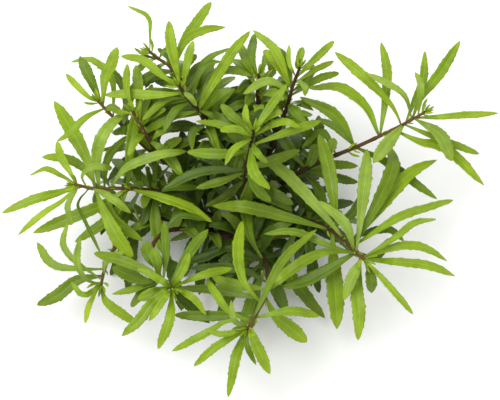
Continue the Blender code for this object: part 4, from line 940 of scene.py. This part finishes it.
class Thicket:
    """What already grows: points of leaves and stems to keep clear of, and leaves to stay beneath."""

    def __init__(self, leaves, stems):
        self.spots = []
        self.lows = []
        self.highs = []
        for leaf in leaves:
            self.add(*blade_spots(leaf["line"], leaf["width"], leaf["roll"]), leaf["stem"])
        outer = np.concatenate([points for points, _, _ in self.spots])
        self.outer_view = np.stack(as_seen(outer), axis=1)
        for name, line in stems.items():
            self.add(line, np.zeros(len(line)), name)

    def add(self, points, shares, stem):
        self.spots.append((points, shares, stem))
        self.lows.append(points.min(axis=0))
        self.highs.append(points.max(axis=0))

    def is_clear(self, points, shares, stem, room):
        """Whether points keep clear of everything but the feet of their own stem's leaves."""
        over_crown = np.hypot(points[:, 0], points[:, 1]) < CROWN_REACH + room
        if np.any(over_crown & (points[:, 2] < CROWN_HEIGHT + room)):
            return False
        low = points.min(axis=0) - room
        high = points.max(axis=0) + room
        boxes_meet = np.all((np.array(self.lows) < high) & (np.array(self.highs) > low), axis=1)
        for index in np.flatnonzero(boxes_meet):
            other_points, other_shares, other_stem = self.spots[index]
            near = np.all((other_points > low) & (other_points < high), axis=1)
            if not near.any():
                continue
            gaps = np.linalg.norm(points[:, None] - other_points[near][None], axis=2)
            if other_stem == stem:
                at_foot = np.maximum(shares[:, None], other_shares[near][None]) < FOOT_SHARE
                gaps[at_foot] = np.inf
            if gaps.min() < room:
                return False
        return True

    def is_beneath(self, points, shares):
        """Whether points, but for the foot, lie beneath every outer leaf that they cross in view."""
        blade = points[shares > FOOT_SHARE]
        view = np.stack(as_seen(blade), axis=1)
        low = view[:, :2].min(axis=0) - COVER_PIXELS
        high = view[:, :2].max(axis=0) + COVER_PIXELS
        near = np.all((self.outer_view[:, :2] > low) & (self.outer_view[:, :2] < high), axis=1)
        if not near.any():
            return True
        apart = view[:, None] - self.outer_view[near][None]
        crossing = np.hypot(apart[:, :, 0], apart[:, :, 1]) < COVER_PIXELS
        return not np.any(crossing & (apart[:, :, 2] < 0))

    def take_in(self, leaf, room):
        """Sink a leaf away from the eye until it has room, and say whether it found any."""
        rays = leaf["line"] - np.array(EYE)
        rays /= np.linalg.norm(rays, axis=1)[:, None]
        bend = np.clip(np.arange(LEAF_STEPS + 1) / LEAF_STEPS / BEND_SHARE, 0, 1)[:, None]
        start = leaf["line"]
        for step in range(SINK_STEPS):
            line = start + rays * bend * (SINK_STEP * step)
            if line[:, 2].min() < LOWEST:
                return False
            points, shares = blade_spots(line, leaf["width"], leaf["roll"])
            if self.is_beneath(points, shares) and self.is_clear(points, shares, leaf["stem"], room):
                leaf["line"] = line
                self.add(points, shares, leaf["stem"])
                return True
        return False


def add_inner_leaves(leaves, stems, thicket):
    """Add the traced inner leaves, each as deep in the plant as it needs."""
    for stem, entries in INNER_LEAVES.items():
        for traced, width, arch, lift in entries:
            line = traced_leaf(stems[stem], traced, arch, lift, len(leaves))
            leaf = new_leaf(stem, line, width * MM, len(leaves))
            if thicket.take_in(leaf, INNER_LEAF_ROOM):
                leaves.append(leaf)


def whorl_shares(stem, first_share, last_share, spacing):
    """Places of the whorls on a stretch of a stem, as shares of the stem."""
    whorls = int((last_share - first_share) * steps_along(stem).sum() / spacing) + 1
    return np.linspace(first_share, last_share, whorls)


def add_inner_whorls(leaves, stems, thicket, spacing, turns, room):
    """Grow leaves of the inner whorls where they have room."""
    for stem, last_share in INNER_WHORLS_TO.items():
        shares = whorl_shares(stems[stem], INNER_WHORLS_FROM, last_share, spacing)
        for whorl, share in enumerate(shares):
            for turn in turns:
                line = inner_leaf(stems[stem], share, turn + INNER_WHORL_TURN * (whorl % 2), len(leaves))
                leaf = new_leaf(stem, line, INNER_LEAF_WIDTH, len(leaves))
                if thicket.take_in(leaf, room):
                    leaves.append(leaf)


growing = Thicket(leaves, stem_lines)
add_inner_leaves(leaves, stem_lines, growing)
add_inner_whorls(leaves, stem_lines, growing, INNER_WHORL_SPACING, INNER_LEAF_TURNS, INNER_LEAF_ROOM)


# Cover leaves
# Leaves of the same kind that lie over the bare stretches of the stems, close the foliage
# behind the back shoots and thicken the inner whorls, but for the gaps between the front shoots.

# The ones over bare stretches, in the form of the traced leaves
COVER_LEAVES = {
    "west": [
        ([(188, 204), (191, 218), (194, 236)], 6.0, 3, -12, "D"),
        ([(176, 200), (178, 214), (173, 232)], 6.0, 3, -10, "N"),
    ],
    "south": [
        ([(236, 222), (222, 228), (204, 238)], 6.5, 4, -2, "D"),
    ],
    "south_west": [
        ([(204, 222), (188, 226), (170, 229)], 5.0, 5, 2, "N"),
        ([(157, 268), (150, 258), (145, 242)], 6.5, 4, 2, "N"),
        ([(163, 275), (157, 262), (153, 248)], 5.5, 4, 3, "C"),
    ],
    "north_west": [
        ([(152, 152), (140, 130), (137, 105)], 7.0, 8, 12, "M"),
        ([(140, 142), (126, 131), (112, 133)], 6.0, 6, 4, "M"),
        ([(160, 158), (168, 146), (182, 138)], 5.0, 5, 4, "C"),
    ],
    "mid_west": [
        ([(150, 142), (160, 132), (172, 126)], 5.0, 5, 4, "C"),
        ([(146, 134), (136, 140), (128, 156)], 5.0, 5, 2, "M"),
    ],
    "north_tall": [
        ([(214, 138), (206, 128), (196, 124)], 4.5, 4, 3, "N"),
        ([(199, 111), (188, 98), (176, 90)], 4.5, 4, 3, "M"),
    ],
    "north_east": [
        ([(284, 118), (276, 106), (272, 92)], 4.5, 4, 3, "M"),
        ([(287, 104), (296, 112), (306, 124)], 5.0, 5, 3, "C"),
    ],
    "east": [
        ([(318, 163), (328, 152), (334, 138)], 6.5, 4, 2, "M"),
        ([(300, 172), (312, 160), (316, 144)], 6.0, 4, 2, "N"),
    ],
}
COVER_LEAF_RISES = (0, 2, -2, 4, -4, 7, 10, -7)
COVER_LEAF_ROOM = 0.7 * MM
# Behind the back shoots the foliage is closed: the middle and the half width and height of each
# such patch, in pixels, and the stretch of each stem, as shares of it, whose leaves fill them
CLOSED_PATCHES = ((222, 96, 62, 38), (150, 96, 40, 34), (275, 112, 40, 44), (182, 70, 30, 26))
PATCH_STEMS = {
    "north_tall": (0.40, 0.95), "north_west": (0.50, 0.92), "mid_west": (0.15, 0.90),
    "north": (0.10, 0.95), "north_east": (0.40, 0.90), "north_twig": (0.15, 0.90), "centre": (0.40, 0.80),
}
PATCH_LEAF_SIZES = (0.85, 0.62)
# Gaps that the photograph shows between the front shoots, given in the same way
OPEN_PATCHES = (
    (189, 249, 17, 8), (205, 248, 14, 7), (128, 222, 10, 9), (152, 243, 6, 5), (160, 264, 5, 13),
    (175, 229, 7, 7), (103, 245, 11, 10), (125, 283, 11, 9), (136, 256, 4, 5), (177, 211, 6, 3),
)
# Leaves without a tone get the darkest tone, partly old leaf colour and partly painted shade deep in the
# plant, where their middle is nearer the plant's axis than this
SHADED_REACH = 48 * MM


def in_patches(patches, line, test):
    """Whether all or any of the outer half of a leaf is seen inside one of the patches."""
    across, down, _ = as_seen(line[LEAF_STEPS // 2:])
    return any(test(((across - middle) / half_width) ** 2 + ((down - level) / half_height) ** 2 < 1)
               for middle, level, half_width, half_height in patches)


def add_cover_leaves(leaves, stems, thicket):
    """Add the traced leaves that hide the bare stretches, at the first height where each is clear."""
    for stem, entries in COVER_LEAVES.items():
        for traced, width, arch, lift, tone in entries:
            for rise in COVER_LEAF_RISES:
                line = traced_leaf(stems[stem], traced, arch, lift + rise, len(leaves))
                leaf = new_leaf(stem, line, width * MM, len(leaves), tone=tone)
                points, shares = blade_spots(line, leaf["width"], leaf["roll"])
                if thicket.is_clear(points, shares, stem, COVER_LEAF_ROOM):
                    thicket.add(points, shares, stem)
                    leaves.append(leaf)
                    break


def fill_patches(leaves, stems, thicket):
    """Grow leaves inside the closed patches, as the photograph's view shows them."""
    for stem, (first_share, last_share) in PATCH_STEMS.items():
        for share in whorl_shares(stems[stem], first_share, last_share, FILL_WHORL_SPACING):
            for turn in FILL_LEAF_TURNS:
                for size in PATCH_LEAF_SIZES:
                    line = inner_leaf(stems[stem], share, turn, len(leaves))
                    line = line[0] + size * (line - line[0])
                    width = size ** 0.5 * INNER_LEAF_WIDTH
                    leaf = new_leaf(stem, line, width, len(leaves), tone="MCN"[len(leaves) % 3])
                    inside = in_patches(CLOSED_PATCHES, line, np.all)
                    if inside and thicket.take_in(leaf, FILL_LEAF_ROOM):
                        leaves.append(leaf)
                        break


add_cover_leaves(leaves, stem_lines, growing)
first_fill = len(leaves)
add_inner_whorls(leaves, stem_lines, growing, FILL_WHORL_SPACING, FILL_LEAF_TURNS, FILL_LEAF_ROOM)
leaves[first_fill:] = [
    leaf for leaf in leaves[first_fill:] if not in_patches(OPEN_PATCHES, leaf["line"], np.any)
]
fill_patches(leaves, stem_lines, growing)
# Leaves left without a tone are darkened, partly as painted shade: the darkest near the axis, dark or middle
# tones further out
for index, leaf in enumerate(leaves):
    if leaf["tone"] is None:
        reach = np.hypot(*leaf["line"][LEAF_STEPS // 2, :2])
        leaf["tone"] = "K" if reach < SHADED_REACH else "DDM"[index % 3]


# Leaf blades
# Soft and slightly fleshy, with a pale sunk midrib above and a raised one below, toothed
# margins and a paler underside. One grid, from -1 to 1 across and 0 to 1 along, is given its
# thickness and grooved along its middle, and every leaf is a copy of it at its own size.
BLADE_ACROSS = 8
BLADE_ALONG = 54
BLADE_THICKNESS = 0.32 * MM
MIDRIB_SINK = 0.16 * MM
MIDRIB_SWELL = 0.38 * MM
LEAF_FOLD = 0.16
NARROWEST_HALF = 0.12 * MM
TOOTH_ROWS = 4
TOOTH_DEPTH = 0.20
MARGIN_WAVE = 0.10
WIDTH_CHANGE = 0.06
UNDERSIDE_PALENESS = 0.35
TONE_CHANGE = 0.10
# Shares of the full width at each tenth of the length, of a lance-shaped and of a spoon-shaped
# blade: each leaf lies somewhere between the two, and its tip is sharp or blunt
LANCE_OUTLINE = (0.18, 0.36, 0.58, 0.79, 0.93, 1.00, 1.01, 0.95, 0.81, 0.56)
SPOON_OUTLINE = (0.15, 0.25, 0.41, 0.59, 0.77, 0.92, 1.01, 1.03, 0.95, 0.74)
SPOON_SHARE = 0.40
TIP_POWER = 0.58
TIP_CHANGE = 0.16

bpy.ops.object.select_all(action="DESELECT")
bpy.ops.mesh.primitive_grid_add(x_subdivisions=BLADE_ACROSS, y_subdivisions=BLADE_ALONG, size=2)
blade = bpy.context.object
blade.name = "blade_pattern"
bpy.ops.transform.resize(value=(1, 0.5, 1))
bpy.ops.transform.translate(value=(0, 0.5, 0))
bpy.ops.object.transform_apply(location=True, rotation=True, scale=True)
bpy.ops.object.modifier_add(type="SOLIDIFY")
blade.modifiers[-1].thickness = BLADE_THICKNESS
blade.modifiers[-1].offset = -1
bpy.ops.object.modifier_apply(modifier=blade.modifiers[-1].name)
for vertex in blade.data.vertices:
    nearness = max(0.0, 1 - abs(vertex.co.x) * BLADE_ACROSS / 2)
    if vertex.co.z > -0.5 * BLADE_THICKNESS:
        vertex.co.z -= MIDRIB_SINK * nearness
    else:
        vertex.co.z -= MIDRIB_SWELL * nearness
bpy.ops.object.shade_smooth()

blade_points = np.zeros(len(blade.data.vertices) * 3)
blade.data.vertices.foreach_get("co", blade_points)
blade_points = blade_points.reshape(-1, 3)

# Youth, brightness, paleness and brownness of each tone; low brightness is partly old leaf colour and partly
# painted shade, K being the darkest, and G's paleness is a painted sheen
TONES = {
    "Y": (0.80, 0.90, 0.0, 0.0),
    "L": (0.45, 0.90, 0.0, 0.0),
    "B": (0.22, 0.85, 0.0, 0.0),
    "C": (0.12, 0.67, 0.0, 0.0),
    "M": (0.05, 0.50, 0.0, 0.0),
    "N": (0.00, 0.35, 0.0, 0.0),
    "D": (0.00, 0.20, 0.0, 0.0),
    "K": (0.00, 0.00, 0.0, 0.0),
    "G": (0.10, 0.80, 0.60, 0.0),
    "O": (0.15, 0.35, 0.0, 0.55),
}


def grow_leaf(leaf, index):
    """A copy of the blade, bent along a leaf's line and given its width, teeth, waves and tone.

    Sines of multiples of the leaf's number make each leaf differ a little, the same way each run.
    """
    grown = bpy.data.objects.new(leaf["name"] or "small_leaf", blade.data.copy())
    bpy.context.scene.collection.objects.link(grown)
    line = smooth_line(leaf["line"], BLADE_ALONG)
    side, up = blade_frame(line, leaf["roll"])
    across, along, thick = blade_points.T
    row = np.rint(along * BLADE_ALONG).astype(int)
    shares = np.arange(BLADE_ALONG + 1) / BLADE_ALONG

    # Half the width at each row: the outline, a rounded tip, and a gentle swing from the base on
    spoon = SPOON_SHARE * (1 + math.sin(4.1 * index))
    outline = (1 - spoon) * np.array(LANCE_OUTLINE) + spoon * np.array(SPOON_OUTLINE)
    profile = np.interp(shares, np.arange(LEAF_STEPS) / LEAF_STEPS, outline)
    rounding = np.clip(10 - 10 * shares, 0, 1) ** (TIP_POWER + TIP_CHANGE * math.sin(2.9 * index))
    profile = np.where(shares > 0.9, outline[-1] * rounding, profile)
    profile[1:-1] = (profile[:-2] + 2 * profile[1:-1] + profile[2:]) / 4
    half = np.maximum(profile * leaf["width"] / 2, NARROWEST_HALF)
    half = half * (1 + WIDTH_CHANGE * np.sin(5 * shares + 1.7 * index))

    # Teeth that grow over a few rows and end in a step, different on the two margins
    margin = (across > 0).astype(int)
    toothed_row = row + margin + index % TOOTH_ROWS
    tooth = TOOTH_DEPTH * (toothed_row % TOOTH_ROWS) / (TOOTH_ROWS - 1)
    tooth *= 0.6 + 0.4 * np.sin(2.3 * (toothed_row // TOOTH_ROWS) + index + 2 * margin)
    tooth *= (np.clip((shares - 0.25) * 5, 0, 1) * np.clip((1 - shares) * 10, 0, 1))[row]
    wide = half[row] * (1 + tooth * np.abs(across) ** 6)

    wave = MARGIN_WAVE * np.sin(13 * shares[row] + 2.1 * index + 1.3 * margin)
    rise = (LEAF_FOLD * np.abs(across) + wave * across ** 2) * half[row] + thick
    points = line[row] + side[row] * (across * wide)[:, None] + up[row] * rise[:, None]
    grown.data.vertices.foreach_set("co", points.ravel())

    # The tone's low brightness is partly painted shade and its paleness partly a painted sheen; the
    # underside's paleness is its own colour
    young, bright, pale, brown = TONES[leaf["tone"]]
    change = TONE_CHANGE * math.sin(3.3 * index)
    underside = thick < -0.6 * BLADE_THICKNESS
    tone = np.zeros((len(row), 4))
    tone[:, 0] = max(young + change, 0)
    tone[:, 1] = max(bright + change, 0)
    tone[:, 2] = np.maximum(pale, UNDERSIDE_PALENESS * underside)
    tone[:, 3] = brown
    attribute = grown.data.attributes.new("tone", "FLOAT_COLOR", "POINT")
    attribute.data.foreach_set("color", tone.ravel())
    grown.data.update()
    return grown


DARK_GREEN = (0.040, 0.078, 0.003, 1)
BRIGHT_GREEN = (0.180, 0.300, 0.006, 1)
YOUNG_YELLOW = (0.330, 0.440, 0.014, 1)
PALE_GREEN = (0.230, 0.335, 0.048, 1)
OLIVE_BROWN = (0.090, 0.075, 0.018, 1)
RIB_LIME = (0.290, 0.400, 0.060, 1)
FOOT_RUSSET = (0.090, 0.062, 0.018, 1)

mottling = {"Patch Scale": 150.0, "Grain Scale": 1700.0, "Strength": 0.7}
leaf_material, tree, shader, mottle, bump = new_finish("leaf_blade", mottling)
tone = add_node(tree, "ShaderNodeAttribute", {}, attribute_name="tone")
tones = add_node(tree, "ShaderNodeSeparateColor", {"Color": (tone, "Color")})
brightness = (tones, "Green")
blade_uv = tree.nodes.new("ShaderNodeUVMap")
uv = add_node(tree, "ShaderNodeSeparateXYZ", {0: (blade_uv, "UV")})
off_rib = calculate(tree, "ABSOLUTE", calculate(tree, "SUBTRACT", (uv, "X"), 0.5))
rib = smooth_step(tree, off_rib, 0.055, 0.015, 0.6)
foot = smooth_step(tree, (uv, "Y"), 0.10, 0.0, 0.7)
tip = smooth_step(tree, (uv, "Y"), 0.62, 1.0, 0.38)

# Side veins run forwards from the midrib: bands along the blade that lag with distance from it
vein_lag = calculate(tree, "MULTIPLY_ADD", off_rib, -0.16, (uv, "Y"))
vein_wave = calculate(tree, "SINE", calculate(tree, "MULTIPLY", vein_lag, 110.0))
vein = smooth_step(tree, vein_wave, 0.55, 1.0, 0.07)

# Fine lighter and darker streaks along the blade, from a noise that is stretched lengthwise
stretch = add_node(tree, "ShaderNodeMapping", {"Vector": (blade_uv, "UV"), "Scale": (16.0, 1.3, 1.0)})
inputs = {"Vector": (stretch, "Vector"), "Scale": 1.0, "Detail": 2.0}
streaks = add_node(tree, "ShaderNodeTexNoise", inputs, noise_dimensions="2D")
streak_shade = calculate(tree, "MULTIPLY_ADD", (streaks, "Fac"), 0.7, 0.65)
shade = calculate(tree, "MULTIPLY", streak_shade, (mottle, "Shade"))

# Low brightness darkens towards old leaf colour and painted shade; paleness mixes in a painted sheen and the
# real paler underside
green = mix_colours(tree, brightness, DARK_GREEN, BRIGHT_GREEN)
for share, colour in (
    ((tones, "Red"), YOUNG_YELLOW),
    ((tones, "Blue"), PALE_GREEN),
    ((tone, "Alpha"), OLIVE_BROWN),
    (calculate(tree, "MULTIPLY", tip, brightness), YOUNG_YELLOW),
    (vein, RIB_LIME),
    (calculate(tree, "MULTIPLY", rib, brightness), RIB_LIME),
    (foot, FOOT_RUSSET),
):
    green = mix_colours(tree, share, green, colour)
set_inputs(tree, shader, {
    "Base Color": mix_colours(tree, 1.0, green, shade, "MULTIPLY"),
    "Roughness": 0.36,
    "Specular IOR Level": 0.22,
    "Subsurface Weight": 0.18,
    "Subsurface Radius": (0.6, 1.0, 0.25),
    "Subsurface Scale": 0.6 * MM,
})
relief = calculate(tree, "MULTIPLY_ADD", vein, -5.0, (mottle, "Height"))
set_inputs(tree, bump, {"Height": relief, "Strength": 0.45, "Distance": 0.3 * MM})

small_leaves = {name: [] for name in STEMS}
for index, leaf in enumerate(leaves):
    grown = grow_leaf(leaf, index)
    if leaf["name"]:
        grown.name = f"{leaf['name']}_blade"
        dress(grown, leaf_material, leaf["name"])
    else:
        small_leaves[leaf["stem"]].append(grown)


# Buds and side tufts
# Each shoot ends in a tight tuft of young leaves, and short side tufts sit at its upper nodes.
# They are joined with the shoot's small leaves, which makes its foliage one piece.
BUD_LEAVES = 8
BUD_LEAF_LENGTH = 10 * MM
BUD_LEAF_WIDTH = 1.5 * MM
BUD_SPREAD = math.radians(52)
BUD_TURN = 2.4
BUD_STEP = 0.35 * MM
SIDE_TUFTS = (0.66, 0.78, 0.90)
SIDE_TUFT_LEAVES = 4
SIDE_TUFT_SIZE = 0.62
# Stubby young leaves at bare nodes, where the real plant has dry curls: share of the stem, count and size
STUBS = {"east": ((0.635, 5, 0.9),), "west": ((0.60, 6, 0.7), (0.72, 6, 0.8))}


def tuft_leaves(stem, spot, count, size):
    """Lines and widths of a tuft of young leaves at a point of a stem, the innermost the shortest."""
    centre = Vector(stem[spot])
    ahead = (centre - Vector(stem[spot - 5])).normalized()
    aside = ahead.orthogonal().normalized()
    other = ahead.cross(aside)
    for number in range(count):
        turn = BUD_TURN * number + spot
        spread = BUD_SPREAD * (0.25 + number / count)
        length = size * BUD_LEAF_LENGTH * (0.45 + 0.55 * number / count)
        base = centre - ahead * BUD_STEP * number
        out = ahead * math.cos(spread) + (aside * math.cos(turn) + other * math.sin(turn)) * math.sin(spread)
        middle = base + out * 0.55 * length
        tip = middle + (out + 0.5 * ahead).normalized() * 0.45 * length
        if tip.z > LOWEST:
            width = size * BUD_LEAF_WIDTH * (0.6 + 0.4 * number / count)
            yield smooth_line([base, middle, tip], LEAF_STEPS), width


for name, line in stem_lines.items():
    tufts = [(1.0, BUD_LEAVES, 1.0)]
    tufts += [(share, SIDE_TUFT_LEAVES, SIDE_TUFT_SIZE) for share in SIDE_TUFTS]
    tufts += STUBS.get(name, ())
    for share, count, size in tufts:
        spot = min(int(share * len(line)), len(line) - 1)
        for tuft_line, width in tuft_leaves(line, spot, count, size):
            number = len(small_leaves[name])
            young = {"name": None, "line": tuft_line, "width": width, "roll": 0.0, "tone": "YB"[number % 2]}
            small_leaves[name].append(grow_leaf(young, number))

for name, group in small_leaves.items():
    bpy.ops.object.select_all(action="DESELECT")
    for grown in group:
        grown.select_set(True)
    bpy.context.view_layer.objects.active = group[0]
    bpy.ops.object.join()
    foliage = bpy.context.object
    foliage.name = f"{name}_foliage"
    dress(foliage, leaf_material, f"{name}_stem")

bpy.data.objects.remove(blade, do_unlink=True)
